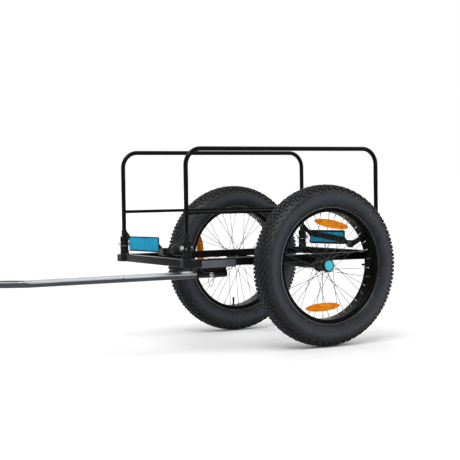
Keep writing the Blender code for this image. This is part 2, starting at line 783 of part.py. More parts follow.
def bush_mesh():
    """The right axle bush: a flanged sleeve with a square spigot inside the beam."""
    width = BEAM_DEPTH - 2 * TUBE_WALL - 2 * SEAT_GAP
    height = BEAM_HEIGHT - 2 * TUBE_WALL - 2 * SEAT_GAP
    spigot_outline = rounded_rectangle(width, height, TUBE_WALL / 2)
    sleeve_start = BEAM_END + SEAT_GAP
    sleeve_end = WHEEL_Y + HUB_INNER_END - RUN_GAP
    spigot = loft([
        along_y(spigot_outline, BEAM_END - BUSH_SPIGOT),
        along_y(spigot_outline, sleeve_start + END_CHAMFER),
    ])
    sleeve = turned(
        [
            (sleeve_start, BUSH_RADIUS),
            (sleeve_start + 0.35 * (sleeve_end - sleeve_start), BUSH_RADIUS),
            (sleeve_start + 0.45 * (sleeve_end - sleeve_start), 0.8 * BUSH_RADIUS),
            (sleeve_end, 0.8 * BUSH_RADIUS),
        ],
        AXLE_STEPS,
    )
    bore = rod(BEAM_END - 2 * BUSH_SPIGOT, sleeve_end + BUSH_SPIGOT, AXLE_RADIUS + SEAT_GAP, AXLE_STEPS)
    return cut(joined(sleeve, spigot), bore)


def build_axle_beam(materials, trailer):
    outer, inner = beam_outlines()
    ends = (-BEAM_END, BEAM_END)
    beam = hollow_loft([along_y(outer, end) for end in ends], [along_y(inner, end) for end in ends])
    add_object("axle_beam", beam, materials["black_paint"], trailer, (0, 0, AXLE_Z))
    bush = bush_mesh()
    for side in (LEFT, RIGHT):
        mesh = mirrored(bush, False, side == LEFT)
        add_object(f"axle_bush_{SIDE_NAME[side]}", mesh, materials["dark_steel"], trailer, (0, 0, AXLE_Z))


# Side hoops

def hoop_mesh():
    """A bent tube with two legs, and a lower rail welded between them, in the plane Y = 0."""
    foot = TUBE_Z + TUBE / 2 + SOCKET_FLOOR + SEAT_GAP
    top = TUBE_Z + HOOP_RISE
    corners = [
        (FRONT_POST_X, 0, foot),
        (FRONT_POST_X, 0, top),
        (REAR_POST_X, 0, top),
        (REAR_POST_X, 0, foot),
    ]
    path = rounded_path(corners, HOOP_BEND, HOOP_BEND_STEPS)
    tube = loft(sweep_rings(path, HOOP_RADIUS, HOOP_STEPS, (0, 1, 0)))
    rail = moved(
        rod(FRONT_POST_X + HOOP_RADIUS / 2, REAR_POST_X - HOOP_RADIUS / 2, HOOP_RAIL_RADIUS, HOOP_STEPS, "X"),
        (0, 0, TUBE_Z + HOOP_RAIL_RISE),
    )
    holes = [
        moved(rod(-2 * HOOP_RADIUS, 2 * HOOP_RADIUS, PIN_HOLE_RADIUS, 8, "X"), (POST_X[end], 0, PIN_Z))
        for end in (FRONT, REAR)
    ]
    return cut(joined(tube, rail), *holes)


def build_hoops(materials, trailer):
    for side in (LEFT, RIGHT):
        name = f"hoop_{SIDE_NAME[side]}"
        add_object(name, hoop_mesh(), materials["black_paint"], trailer, (0, side * POST_Y, 0))


# Lock pins: each is built along +X from the middle of the piece that it locks

def lock_pin_mesh(half_span):
    """A pin with a cross-drilled head, whose shaft passes through a piece of the half span given."""
    head_back = -half_span - SEAT_GAP
    head_front = head_back - PIN_HEAD_LENGTH
    tip = half_span + PIN_TIP
    pin = turned(
        [
            (head_front, PIN_HEAD_RADIUS - PIN_CHAMFER),
            (head_front + PIN_CHAMFER, PIN_HEAD_RADIUS),
            (head_back, PIN_HEAD_RADIUS),
            (head_back, PIN_RADIUS),
            (tip - PIN_CHAMFER, PIN_RADIUS),
            (tip, PIN_RADIUS - PIN_CHAMFER),
        ],
        8, "X",
    )
    hole = rod(-2 * PIN_HEAD_RADIUS, 2 * PIN_HEAD_RADIUS, BAIL_RADIUS + SEAT_GAP, 6, "Z")
    return cut(pin, moved(hole, (bail_pivot(half_span), 0, 0)))


def bail_pivot(half_span):
    return -half_span - SEAT_GAP - PIN_HEAD_LENGTH / 2


def bail_mesh(half_span, depth):
    """A wire bail: from the pin's head, below and round the held piece at +Y, to behind the tip."""
    pivot = bail_pivot(half_span)
    end = half_span + PIN_TIP + SEAT_GAP + BAIL_RADIUS
    middle, reach = (pivot + end) / 2, (end - pivot) / 2
    plane = -(PIN_HEAD_RADIUS + BAIL_RADIUS + SEAT_GAP)
    corners = [(pivot, 0, PIN_HEAD_RADIUS / 2)]
    for step in range(BAIL_ARC_STEPS + 1):
        angle = math.pi * (1 - step / BAIL_ARC_STEPS)
        corners.append((middle + reach * math.cos(angle), depth * math.sin(angle), plane))
    corners.append((end, 0, PIN_RADIUS))
    path = rounded_path(corners, BAIL_CORNER, 2, math.radians(60))
    return loft(sweep_rings(path, BAIL_RADIUS, 6, (1, 0, 0)))


def smooth_points(route, spacing):
    """Points at an even spacing along a smooth curve through the route's own points."""
    route = [Vector(point) for point in route]
    padded = [route[0] * 2 - route[1], *route, route[-1] * 2 - route[-2]]
    fine = []
    for a, b, c, d in zip(padded, padded[1:], padded[2:], padded[3:]):
        for step in range(20):
            t = step / 20
            fine.append(0.5 * (2 * b + (c - a) * t + (2 * a - 5 * b + 4 * c - d) * t * t
                               + (3 * b - 3 * c + d - a) * t * t * t))
    fine.append(route[-1])
    length = sum((b - a).length for a, b in zip(fine, fine[1:]))
    count = max(2, round(length / spacing))
    points, walked, wanted = [fine[0]], 0.0, length / count
    for a, b in zip(fine, fine[1:]):
        walked += (b - a).length
        if walked >= wanted * len(points) and len(points) < count:
            points.append(b)
    points.append(fine[-1])
    return points


def add_lanyard(name, route, material, trailer):
    points = smooth_points(route, LANYARD_SPACING)
    curve = bpy.data.curves.new(name, "CURVE")
    curve.dimensions = "3D"
    curve.bevel_depth = LANYARD_RADIUS
    curve.bevel_resolution = 2
    curve.use_fill_caps = True
    spline = curve.splines.new("POLY")
    spline.points.add(len(points) - 1)
    for spot, point in zip(spline.points, points):
        spot.co = (*point, 1.0)
    curve.materials.append(material)
    cord = bpy.data.objects.new(name, curve)
    bpy.context.collection.objects.link(cord)
    cord.parent = trailer
    return cord


def hoop_lanyard_route(end, side):
    """From the pin's head out in a loop, and down onto the top of the corner node."""
    head = SOCKET_RADIUS + 2 * SEAT_GAP + PIN_HEAD_LENGTH
    node_top = TUBE_Z + TUBE / 2
    anchor = NODE_NOSE - 0.0060
    offsets = (
        (head, 0.0, PIN_Z),
        (head + 0.004, 0.0, PIN_Z),
        (head + 0.0085, 0.0, PIN_Z + 0.0010),
        (head + 0.011, 0.002, PIN_Z + 0.011),
        (head + 0.020, 0.003, PIN_Z + 0.015),
        (head + 0.032, 0.004, PIN_Z + 0.008),
        (head + 0.0395, 0.004, PIN_Z - 0.005),
        (head + 0.034, 0.004, PIN_Z - 0.019),
        (head + 0.018, 0.003, PIN_Z - 0.024),
        (anchor + 0.0025, 0.001, PIN_Z - 0.027),
        (anchor, 0.0, node_top + 0.0090),
        (anchor, 0.0, node_top + 0.0040),
        (anchor, 0.0, node_top + SEAT_GAP),
    )
    return [(POST_X[end] + side * reach, side * (POST_Y + out), z) for reach, out, z in offsets]


def drawbar_lanyard_route():
    """From the drawbar pin's head forward and up, onto the underside of the saddle."""
    head = DRAWBAR_Y - RECEIVER_RADIUS - 2 * SEAT_GAP - PIN_HEAD_LENGTH
    return [
        (DRAWBAR_PIN_X, head, DRAWBAR_Z),
        (DRAWBAR_PIN_X, head - 0.0040, DRAWBAR_Z),
        (DRAWBAR_PIN_X - 0.0010, head - 0.0085, DRAWBAR_Z + 0.0005),
        (DRAWBAR_PIN_X - 0.0140, head - 0.0120, DRAWBAR_Z + 0.0040),
        (DRAWBAR_PIN_X - 0.0290, head - 0.0060, DRAWBAR_Z + 0.0085),
        (DRAWBAR_PIN_X - 0.0410, head - 0.0025, SADDLE_BOTTOM - 0.0140),
        (DRAWBAR_PIN_X - 0.0460, head - 0.0010, SADDLE_BOTTOM - 0.0095),
        (DRAWBAR_PIN_X - 0.0460, head - 0.0010, SADDLE_BOTTOM - 0.0045),
        (DRAWBAR_PIN_X - 0.0460, head - 0.0010, SADDLE_BOTTOM - SEAT_GAP),
    ]


def build_lock_pins(materials, trailer):
    pin = lock_pin_mesh(SOCKET_RADIUS)
    bail = bail_mesh(SOCKET_RADIUS, HOOP_BAIL_DEPTH)
    for end in (FRONT, REAR):
        for side in (LEFT, RIGHT):
            place = (POST_X[end], side * POST_Y, PIN_Z)
            corner = f"{END_NAME[end]}_{SIDE_NAME[side]}"
            turned_round = side == RIGHT
            add_object(f"lock_pin_{corner}", mirrored(pin, turned_round, turned_round),
                       materials["zinc_steel"], trailer, place)
            add_bail(f"bail_{corner}", mirrored(bail, turned_round, turned_round),
                     materials["zinc_steel"], trailer, place, (side * -bail_pivot(SOCKET_RADIUS), 0, 0))
            add_lanyard(f"lanyard_{corner}", hoop_lanyard_route(end, side), materials["cord_black"], trailer)
    place = (DRAWBAR_PIN_X, DRAWBAR_Y, DRAWBAR_Z)
    turn = Matrix.Rotation(math.pi / 2, 4, "Z") @ Matrix.Rotation(-math.pi / 2, 4, "X")
    drawbar_pin = lock_pin_mesh(RECEIVER_RADIUS)
    drawbar_pin.transform(turn)
    add_object("lock_pin_drawbar", drawbar_pin, materials["zinc_steel"], trailer, place)
    drawbar_bail = bail_mesh(RECEIVER_RADIUS, DRAWBAR_BAIL_DEPTH)
    drawbar_bail.transform(turn)
    add_bail("bail_drawbar", drawbar_bail, materials["zinc_steel"], trailer, place,
             (0, bail_pivot(RECEIVER_RADIUS), 0))
    add_lanyard("lanyard_drawbar", drawbar_lanyard_route(), materials["cord_black"], trailer)


def add_bail(name, mesh, material, trailer, place, pivot):
    """A bail whose origin lies on its pivot in the pin's head."""
    moved(mesh, -Vector(pivot))
    add_object(name, mesh, material, trailer, Vector(place) + Vector(pivot))


# Drawbar

def drawbar_mesh():
    """A round tube: straight along the frame, then an S-bend inward to the hitch."""
    corners = [
        (DRAWBAR_REAR_X, DRAWBAR_Y, DRAWBAR_Z),
        (DRAWBAR_BEND_X, DRAWBAR_Y, DRAWBAR_Z),
        (DRAWBAR_BEND_X - BEND_RUN, HITCH_Y, DRAWBAR_Z),
        (DRAWBAR_FRONT_X, HITCH_Y, DRAWBAR_Z),
    ]
    path = rounded_path(corners, DRAWBAR_BEND_RADIUS, DRAWBAR_BEND_STEPS)
    up = (0, 0, 1)
    tube = hollow_loft(
        sweep_rings(path, DRAWBAR_RADIUS, DRAWBAR_STEPS, up),
        sweep_rings(path, DRAWBAR_RADIUS - DRAWBAR_WALL, DRAWBAR_STEPS, up),
    )
    holes = [
        moved(rod(-2 * DRAWBAR_RADIUS, 2 * DRAWBAR_RADIUS, PIN_HOLE_RADIUS, 8), (x, DRAWBAR_Y, DRAWBAR_Z))
        for x in (DRAWBAR_PIN_X, SHORT_HOLE_X)
    ]
    return cut(tube, *holes)


def saddle_mesh():
    """A channel round the left side tube from below, with a ledge inboard for the receiver."""
    inner = TUBE / 2 + SEAT_GAP
    outer = inner + SADDLE_WALL
    top = inner - TUBE + SADDLE_CHEEK
    ledge = DRAWBAR_Y + POST_Y + RECEIVER_RADIUS + SADDLE_LEDGE
    outline = [
        (-outer, -outer), (ledge, -outer), (ledge, -inner), (outer, -inner), (outer, top), (inner, top),
        (inner, -inner), (-inner, -inner), (-inner, top), (-outer, top),
    ]
    return loft([along_x(outline, SADDLE_FRONT_X), along_x(outline, SADDLE_REAR_X)])


def receiver_mesh():
    """An arch over the drawbar on a pedestal, with a full ring at its front end."""
    bore = DRAWBAR_RADIUS + SEAT_GAP
    half_pedestal = RECEIVER_PEDESTAL_WIDTH / 2
    lean = math.acos(half_pedestal / RECEIVER_RADIUS)
    steps = 3
    outside = [
        (RECEIVER_RADIUS * math.cos(lean * step / steps), RECEIVER_RADIUS * math.sin(lean * step / steps))
        for step in range(steps + 1)
    ]
    right = [(RECEIVER_RADIUS, -RECEIVER_SKIRT), *outside, (half_pedestal, RECEIVER_TOP)]
    left = [(-y, z) for y, z in reversed(right)]
    arch_steps = DRAWBAR_STEPS // 2
    inside = [
        (-bore * math.cos(math.pi * step / arch_steps), bore * math.sin(math.pi * step / arch_steps))
        for step in range(arch_steps + 1)
    ]
    outline = [*right, *left, (-bore, -RECEIVER_SKIRT), *inside, (bore, -RECEIVER_SKIRT)]
    arch = loft([along_x(outline, RECEIVER_FRONT_X), along_x(outline, RECEIVER_REAR_X)])
    ring_outline = receiver_ring_outline(bore)
    ring = loft([
        along_x(ring_outline, RECEIVER_FRONT_X + SEAT_GAP),
        along_x(ring_outline, RECEIVER_FRONT_X + RECEIVER_RING),
    ])
    hole = moved(rod(-2 * RECEIVER_RADIUS, 2 * RECEIVER_RADIUS, PIN_HOLE_RADIUS, 8), (DRAWBAR_PIN_X, 0, 0))
    return cut(joined(arch, ring), hole)


def receiver_ring_outline(bore):
    """The half ring under the drawbar, whose ends lie inside the arch's two skirts."""
    middle = (RECEIVER_RADIUS + bore) / 2
    angles = [-math.pi * step / 6 for step in range(1, 6)]
    inside = [(bore * math.cos(angle), bore * math.sin(angle)) for angle in angles]
    rim = RECEIVER_RADIUS - SEAT_GAP
    outside = [(rim * math.cos(angle), rim * math.sin(angle)) for angle in reversed(angles)]
    ends = -RECEIVER_SKIRT / 2
    return [(middle, ends), *inside, (-middle, ends), *outside]


def build_drawbar(materials, trailer):
    add_object("drawbar_tube", drawbar_mesh(), materials["bare_aluminium"], trailer)
    add_object("drawbar_saddle", saddle_mesh(), materials["grey_anodised"], trailer, (0, -POST_Y, TUBE_Z))
    place = (0, DRAWBAR_Y, DRAWBAR_Z)
    add_object("drawbar_receiver", receiver_mesh(), materials["black_plastic"], trailer, place)


# Hitch: a universal joint, built from the crossing of its two pins

def rounded_bar(start, end, width, steps=5):
    """An outline along X with a round end about (end, 0), away from its start."""
    half = width / 2
    heading = math.copysign(1, end - start)
    points = [(start, -half), (start, half)]
    for step in range(steps + 1):
        angle = math.pi / 2 + math.pi * step / steps
        points.append((end - heading * half * math.cos(angle), half * math.sin(angle)))
    return points


def clevis_mesh():
    """A plug in the drawbar, a shoulder, and two jaws above and below the cross."""
    tube_end = HITCH_PIVOT
    stem = turned(
        [
            (tube_end + HITCH_PLUG, DRAWBAR_RADIUS - DRAWBAR_WALL - SEAT_GAP),
            (tube_end - SEAT_GAP, DRAWBAR_RADIUS - DRAWBAR_WALL - SEAT_GAP),
            (tube_end - SEAT_GAP, DRAWBAR_RADIUS),
            (tube_end - HITCH_SHOULDER, DRAWBAR_RADIUS),
        ],
        DRAWBAR_STEPS, "X",
    )
    inner = CROSS_HEIGHT / 2 + SEAT_GAP
    outline = rounded_bar(tube_end - HITCH_SHOULDER / 2, 0.0, JAW_WIDTH)
    jaws = [
        loft([along_z(outline, direction * inner), along_z(outline, direction * (inner + JAW_THICKNESS))])
        for direction in (1, -1)
    ]
    bore = HITCH_PIN_RADIUS + SEAT_GAP
    hole = rod(-4 * CROSS_HEIGHT, 4 * CROSS_HEIGHT, bore, HITCH_PIN_STEPS, "Z")
    return cut(joined(stem, *jaws), hole)


def cross_mesh():
    """A block with an upright pin for the jaws and a level one for the fork."""
    outline = rounded_rectangle(CROSS_LENGTH, CROSS_WIDTH, END_CHAMFER, 1)
    block = loft([along_z(outline, -CROSS_HEIGHT / 2), along_z(outline, CROSS_HEIGHT / 2)])
    upright_end = CROSS_HEIGHT / 2 + SEAT_GAP + JAW_THICKNESS + PIN_CHAMFER
    level_end = CROSS_WIDTH / 2 + SEAT_GAP + CHEEK_THICKNESS + PIN_CHAMFER
    upright = rod(-upright_end, upright_end, HITCH_PIN_RADIUS, HITCH_PIN_STEPS, "Z")
    level = rod(-level_end, level_end, HITCH_PIN_RADIUS, HITCH_PIN_STEPS)
    return joined(block, upright, level)


def fork_mesh():
    """Two cheeks beside the cross, a bridge, and the plate that bolts to the bicycle."""
    inner = CROSS_WIDTH / 2 + SEAT_GAP
    outer = inner + CHEEK_THICKNESS
    cheek_outline = rounded_bar(-FORK_REACH - FORK_BRIDGE / 2, 0.0, CHEEK_HEIGHT)
    cheeks = [
        loft([along_y(cheek_outline, side * inner), along_y(cheek_outline, side * outer)])
        for side in (LEFT, RIGHT)
    ]
    bridge_outline = rounded_rectangle(2 * outer, CHEEK_HEIGHT, END_CHAMFER, 1)
    bridge_block = loft([
        along_x(bridge_outline, -FORK_REACH),
        along_x(bridge_outline, -FORK_REACH - FORK_BRIDGE),
    ])
    plate_start = -FORK_REACH - FORK_BRIDGE / 2
    plate_end = HITCH_FRONT_X - HITCH_X + HITCH_PLATE_WIDTH / 2
    plate_outline = rounded_bar(plate_start, plate_end, HITCH_PLATE_WIDTH, 6)
    plate_half = HITCH_PLATE_THICKNESS / 2
    plate = loft([along_y(plate_outline, -plate_half), along_y(plate_outline, plate_half)])
    pin_hole = rod(-4 * CROSS_WIDTH, 4 * CROSS_WIDTH, HITCH_PIN_RADIUS + SEAT_GAP, HITCH_PIN_STEPS)
    axle_hole = moved(rod(-CROSS_WIDTH, CROSS_WIDTH, HITCH_HOLE_RADIUS, HITCH_PIN_STEPS), (plate_end, 0, 0))
    return cut(joined(bridge_block, *cheeks, plate), pin_hole, axle_hole)


def build_hitch(materials, trailer):
    pivot = add_empty("hitch_pivot", (HITCH_X, HITCH_Y, DRAWBAR_Z), trailer)
    add_object("hitch_clevis", clevis_mesh(), materials["dark_steel"], pivot)
    add_object("hitch_cross", cross_mesh(), materials["zinc_steel"], pivot)
    add_object("hitch_fork", fork_mesh(), materials["dark_steel"], pivot)


# Cargo belts: built for the front of the bed, with the belt's plane at X = 0

def strap_route():
    """The strap's middle line across the bed: places and drops below its loops."""
    loop_reach = POST_Y - HOOP_RADIUS - SEAT_GAP - STRAP_THICKNESS / 2
    past_socket = POST_Y - SOCKET_RADIUS - STRAP_THICKNESS
    return [
        (-loop_reach, 0.0),
        (-past_socket, 0.0),
        (BUCKLE_Y - BUCKLE_LENGTH / 2, STRAP_BUCKLE_DROP),
        (BUCKLE_Y + BUCKLE_LENGTH / 2, STRAP_BUCKLE_DROP),
        (PAD_INNER_Y, STRAP_INNER_DROP),
        (PAD_OUTER_Y, STRAP_OUTER_DROP),
        (past_socket, 0.0),
        (loop_reach, 0.0),
    ]


def strap_mesh():
    """One flat strap between loops round the two hoop legs, just above their sockets."""
    half_width = STRAP_WIDTH / 2
    half = STRAP_THICKNESS / 2
    loop_inner = HOOP_RADIUS + SEAT_GAP
    loop_outer = loop_inner + STRAP_THICKNESS
    rings = []
    for y, drop in strap_route():
        rings.append([
            (-half, y, -drop - half_width), (half, y, -drop - half_width),
            (half, y, -drop + half_width), (-half, y, -drop + half_width),
        ])
    loops = []
    for side in (LEFT, RIGHT):
        ends = (-half_width, half_width)
        loop = hollow_loft(
            [along_z(polygon(loop_outer, HOOP_STEPS), end) for end in ends],
            [along_z(polygon(loop_inner, HOOP_STEPS), end) for end in ends],
        )
        loops.append(moved(loop, (0, side * POST_Y, 0)))
    return joined(loft(rings), *loops)


def pad_mesh():
    """A padded sleeve in front of the strap: flat behind, crowned in front, thin at its bound edge."""
    columns, rows = 12, 4
    back = -STRAP_THICKNESS / 2 - SEAT_GAP
    bm = bmesh.new()
    sheets = {"front": [], "back": []}
    for column in range(columns + 1):
        across = column / columns
        y = PAD_INNER_Y + (PAD_OUTER_Y - PAD_INNER_Y) * across
        front_row, back_row = [], []
        for row in range(rows + 1):
            up = row / rows
            drop = PAD_INNER_DROP + (PAD_OUTER_DROP - PAD_INNER_DROP) * across
            z = PAD_HEIGHT * (up - 0.5) - drop
            crown = math.sin(math.pi * up) * min(1.0, 4 * across, 4 * (1 - across))
            front_row.append(bm.verts.new((back - PAD_EDGE - PAD_CROWN * crown, y, z)))
            back_row.append(bm.verts.new((back, y, z)))
        sheets["front"].append(front_row)
        sheets["back"].append(back_row)
    for sheet in sheets.values():
        for first, second in zip(sheet, sheet[1:]):
            for row in range(rows):
                bm.faces.new((first[row], second[row], second[row + 1], first[row + 1]))
    front, back_sheet = sheets["front"], sheets["back"]
    for column in range(columns):
        for row in (0, rows):
            bm.faces.new((front[column][row], front[column + 1][row],
                          back_sheet[column + 1][row], back_sheet[column][row]))
    for column in (0, columns):
        for row in range(rows):
            bm.faces.new((front[column][row], front[column][row + 1],
                          back_sheet[column][row + 1], back_sheet[column][row]))
    return finished(bm)


def buckle_mesh():
    """A channel behind and beside the strap, with holes for the lever's pin."""
    inner = STRAP_WIDTH / 2 + SEAT_GAP
    outer = inner + BUCKLE_WALL
    back_inner = STRAP_THICKNESS / 2 + SEAT_GAP
    back_outer = back_inner + BUCKLE_WALL
    front = -BUCKLE_DEPTH + BUCKLE_WALL
    outline = [
        (back_outer, -outer), (back_outer, outer), (front, outer), (front, inner),
        (back_inner, inner), (back_inner, -inner), (front, -inner), (front, -outer),
    ]
    half = BUCKLE_LENGTH / 2
    channel = loft([along_y(outline, -half), along_y(outline, half)])
    hole = rod(-2 * outer, 2 * outer, LEVER_PIN_RADIUS + SEAT_GAP, 8, "Z")
    return cut(channel, moved(hole, (-LEVER_PIVOT_DEPTH, 0, 0)))


def lever_mesh():
    """A cam roller between the cheeks, its pin, and the handle plate."""
    half = STRAP_WIDTH / 2 - SEAT_GAP
    cam = rod(-half, half, LEVER_CAM_RADIUS, 12, "Z")
    pin_half = half + 2 * SEAT_GAP + BUCKLE_WALL
    pin = rod(-pin_half, pin_half, LEVER_PIN_RADIUS, 8, "Z")
    face = LEVER_CAM_RADIUS - LEVER_PLATE
    outline = [
        (-LEVER_CAM_RADIUS, 0.0), (-face, 0.0), (-face, 0.75 * LEVER_LENGTH),
        (-face - LEVER_PLATE, LEVER_LENGTH), (-LEVER_CAM_RADIUS - LEVER_PLATE, LEVER_LENGTH),
        (-LEVER_CAM_RADIUS, 0.7 * LEVER_LENGTH),
    ]
    handle = loft([along_z(outline, -half), along_z(outline, half)])
    return joined(cam, handle, pin)


def build_belts(materials, trailer):
    strap, pad, buckle, lever = strap_mesh(), pad_mesh(), buckle_mesh(), lever_mesh()
    for end in (FRONT, REAR):
        name = f"belt_{END_NAME[end]}"
        belt = add_empty(f"{name}_plane", (POST_X[end], 0, STRAP_Z), trailer)
        flip = end == REAR
        pivot = (end * LEVER_PIVOT_DEPTH, BUCKLE_Y, -STRAP_BUCKLE_DROP)
        add_object(f"{name}_strap", mirrored(strap, flip, False), materials["black_webbing"], belt)
        add_object(f"{name}_pad", mirrored(pad, flip, False), materials["teal_fabric"], belt)
        add_object(f"{name}_buckle", mirrored(buckle, flip, False), materials["zinc_steel"], belt,
                   (0, BUCKLE_Y, -STRAP_BUCKLE_DROP))
        add_object(f"{name}_lever", mirrored(lever, flip, False), materials["zinc_steel"], belt, pivot)


def centre_on_box(trailer):
    """Move the trailer along X, so that the origin is in the middle of its box."""
    bpy.context.view_layer.update()
    graph = bpy.context.evaluated_depsgraph_get()
    places = []
    for thing in bpy.data.objects:
        if thing.type == "EMPTY":
            continue
        solid = thing.evaluated_get(graph)
        mesh = solid.to_mesh()
        places += [(thing.matrix_world @ vertex.co).x for vertex in mesh.vertices]
        solid.to_mesh_clear()
    trailer.location.x = -(min(places) + max(places)) / 2


def build_trailer():
    clear_scene()
    materials = make_materials()
    trailer = add_empty("trailer", (0, 0, 0))
    build_frame(materials, trailer)
    build_axle_beam(materials, trailer)
    build_hoops(materials, trailer)
    build_drawbar(materials, trailer)
    build_hitch(materials, trailer)
    build_lock_pins(materials, trailer)
    build_belts(materials, trailer)
    build_wheel(LEFT, LEFT_VALVE_ANGLE, materials, trailer)
    build_wheel(RIGHT, RIGHT_VALVE_ANGLE, materials, trailer)
    centre_on_box(trailer)


build_trailer()
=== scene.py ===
import json
from math import acos, atan2, copysign, cos, hypot, pi, radians, sin, tan

import bpy
from mathutils import Matrix, Vector

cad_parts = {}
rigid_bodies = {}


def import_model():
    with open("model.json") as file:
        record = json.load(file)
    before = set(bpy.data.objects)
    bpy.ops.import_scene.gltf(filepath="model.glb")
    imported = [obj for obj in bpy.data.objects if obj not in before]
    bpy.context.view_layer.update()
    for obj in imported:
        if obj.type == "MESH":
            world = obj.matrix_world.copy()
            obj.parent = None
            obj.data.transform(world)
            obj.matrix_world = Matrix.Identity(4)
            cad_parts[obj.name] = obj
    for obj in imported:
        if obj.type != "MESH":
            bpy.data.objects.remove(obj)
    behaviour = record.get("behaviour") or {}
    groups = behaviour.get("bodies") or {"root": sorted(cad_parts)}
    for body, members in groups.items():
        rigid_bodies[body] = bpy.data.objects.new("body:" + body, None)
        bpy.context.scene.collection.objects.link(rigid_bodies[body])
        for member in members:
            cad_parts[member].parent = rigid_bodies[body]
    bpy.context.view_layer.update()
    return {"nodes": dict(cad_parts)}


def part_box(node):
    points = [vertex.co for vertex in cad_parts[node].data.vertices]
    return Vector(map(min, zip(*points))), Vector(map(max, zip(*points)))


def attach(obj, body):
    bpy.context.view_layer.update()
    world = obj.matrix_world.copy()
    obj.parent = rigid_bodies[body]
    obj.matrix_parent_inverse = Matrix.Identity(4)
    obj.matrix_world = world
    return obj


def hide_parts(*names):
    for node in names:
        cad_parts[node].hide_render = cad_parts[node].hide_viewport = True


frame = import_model()
for extra in list(bpy.data.objects):
    if extra.type in ("LIGHT", "CAMERA") or (extra.type == "MESH" and extra.name not in frame["nodes"]):
        bpy.data.objects.remove(extra)
bpy.ops.object.select_all(action="DESELECT")


def middle(node):
    low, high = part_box(node)
    return (low + high) / 2


# Places that the pieces share, read from the frame
axleX, axleZ = middle("axle_beam").x, middle("axle_beam").z
wheelY = middle("wheel_right_tyre").y
postX = {"front": middle("cross_tube_front").x, "rear": middle("cross_tube_rear").x}
postY, tubeZ = middle("side_tube_right").y, middle("side_tube_right").z
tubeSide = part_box("side_tube_right")[1].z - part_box("side_tube_right")[0].z
pinX = middle("lock_pin_drawbar").x
barY, barZ = middle("drawbar_receiver").y, middle("hitch_cross").z
hitchX, hitchY = middle("hitch_cross").x, middle("hitch_cross").y
sideSign = {"left": -1, "right": 1}
corners = [(end, side) for end in postX for side in sideSign]
gap = 0.0003   # between pieces that touch in life
print("frame loaded with", len(frame["nodes"]), "nodes")


# Shaping helpers

def selectOnly(*pieces):
    bpy.ops.object.select_all(action="DESELECT")
    for piece in pieces:
        piece.select_set(True)
    if pieces:
        bpy.context.view_layer.objects.active = pieces[0]


def discard(*pieces):
    for piece in pieces:
        bpy.data.objects.remove(piece)


def applyModifier(piece, kind, **settings):
    bpy.context.view_layer.objects.active = piece
    modifier = piece.modifiers.new(kind.lower(), kind)
    for key, value in settings.items():
        setattr(modifier, key, value)
    bpy.ops.object.modifier_apply(modifier=modifier.name)
    return piece


def joinPieces(pieces):
    selectOnly(*pieces)
    bpy.ops.object.join()
    return bpy.context.object


def combine(operation, piece, others):
    for other in others:
        applyModifier(piece, "BOOLEAN", operation=operation, solver="EXACT", object=other)
        discard(other)
    return piece


def uniteWith(piece, *others):
    return combine("UNION", piece, others)


def cutWith(piece, *others):
    return combine("DIFFERENCE", piece, others)


def bakeTransform(piece):
    selectOnly(piece)
    bpy.ops.object.transform_apply(location=True, rotation=True, scale=True)
    return piece


def smoothByAngle(piece, degrees=38):
    selectOnly(piece)
    bpy.ops.object.shade_smooth_by_angle(angle=radians(degrees))
    return piece


def softenEdges(piece, width, segments=2, angle=35):
    applyModifier(piece, "BEVEL", width=width, segments=segments, limit_method="ANGLE",
                  angle_limit=radians(angle), use_clamp_overlap=True)
    return smoothByAngle(piece)


def blockPiece(centre, size, turn=(0, 0, 0)):
    selectOnly()
    bpy.ops.mesh.primitive_cube_add(size=1, location=centre, rotation=turn, scale=size)
    return bakeTransform(bpy.context.object)


def roundBar(centre, radius, length, axis, sides=24, scale=(1, 1, 1)):
    turns = {"X": (0, pi / 2, 0), "Y": (pi / 2, 0, 0), "Z": (0, 0, 0)}
    selectOnly()
    bpy.ops.mesh.primitive_cylinder_add(vertices=sides, radius=radius, depth=length, location=centre,
                                        rotation=turns[axis], scale=scale)
    return bakeTransform(bpy.context.object)


def leaveEdit():
    bpy.ops.object.mode_set(mode="OBJECT")


def finishMesh(mergeWithin):
    # Leaves edit mode with all normals pointing out, after merging points that coincide
    bpy.ops.mesh.select_all(action="SELECT")
    if mergeWithin:
        bpy.ops.mesh.remove_doubles(threshold=mergeWithin)
    bpy.ops.mesh.normals_make_consistent(inside=False)
    leaveEdit()


def extrudeBy(step):
    bpy.ops.mesh.extrude_region_move(TRANSFORM_OT_translate={"value": step})


def pickFaces(piece, wanted):
    # Leaves the piece in edit mode with only the wanted faces selected
    selectOnly(piece)
    bpy.ops.object.mode_set(mode="EDIT")
    bpy.ops.mesh.select_mode(type="FACE")
    bpy.ops.mesh.select_all(action="DESELECT")
    leaveEdit()
    for face in piece.data.polygons:
        face.select = bool(wanted(face.center, face.normal))
    bpy.ops.object.mode_set(mode="EDIT")


def dishFaces(piece, wanted, *steps):
    # Insets the wanted faces and moves them, for each step of (inset, move)
    pickFaces(piece, wanted)
    for inset, move in steps:
        bpy.ops.mesh.inset(thickness=inset)
        bpy.ops.transform.translate(value=move)
    leaveEdit()


def fluteFaces(piece, wanted, inset, depth):
    # Sinks each of the wanted faces by itself; a depth above 0 raises it
    pickFaces(piece, wanted)
    bpy.ops.mesh.inset(thickness=inset, depth=depth, use_individual=True)
    leaveEdit()


def hollowFaces(piece, wanted, wall, travel):
    pickFaces(piece, wanted)
    bpy.ops.mesh.inset(thickness=wall)
    extrudeBy(travel)
    leaveEdit()


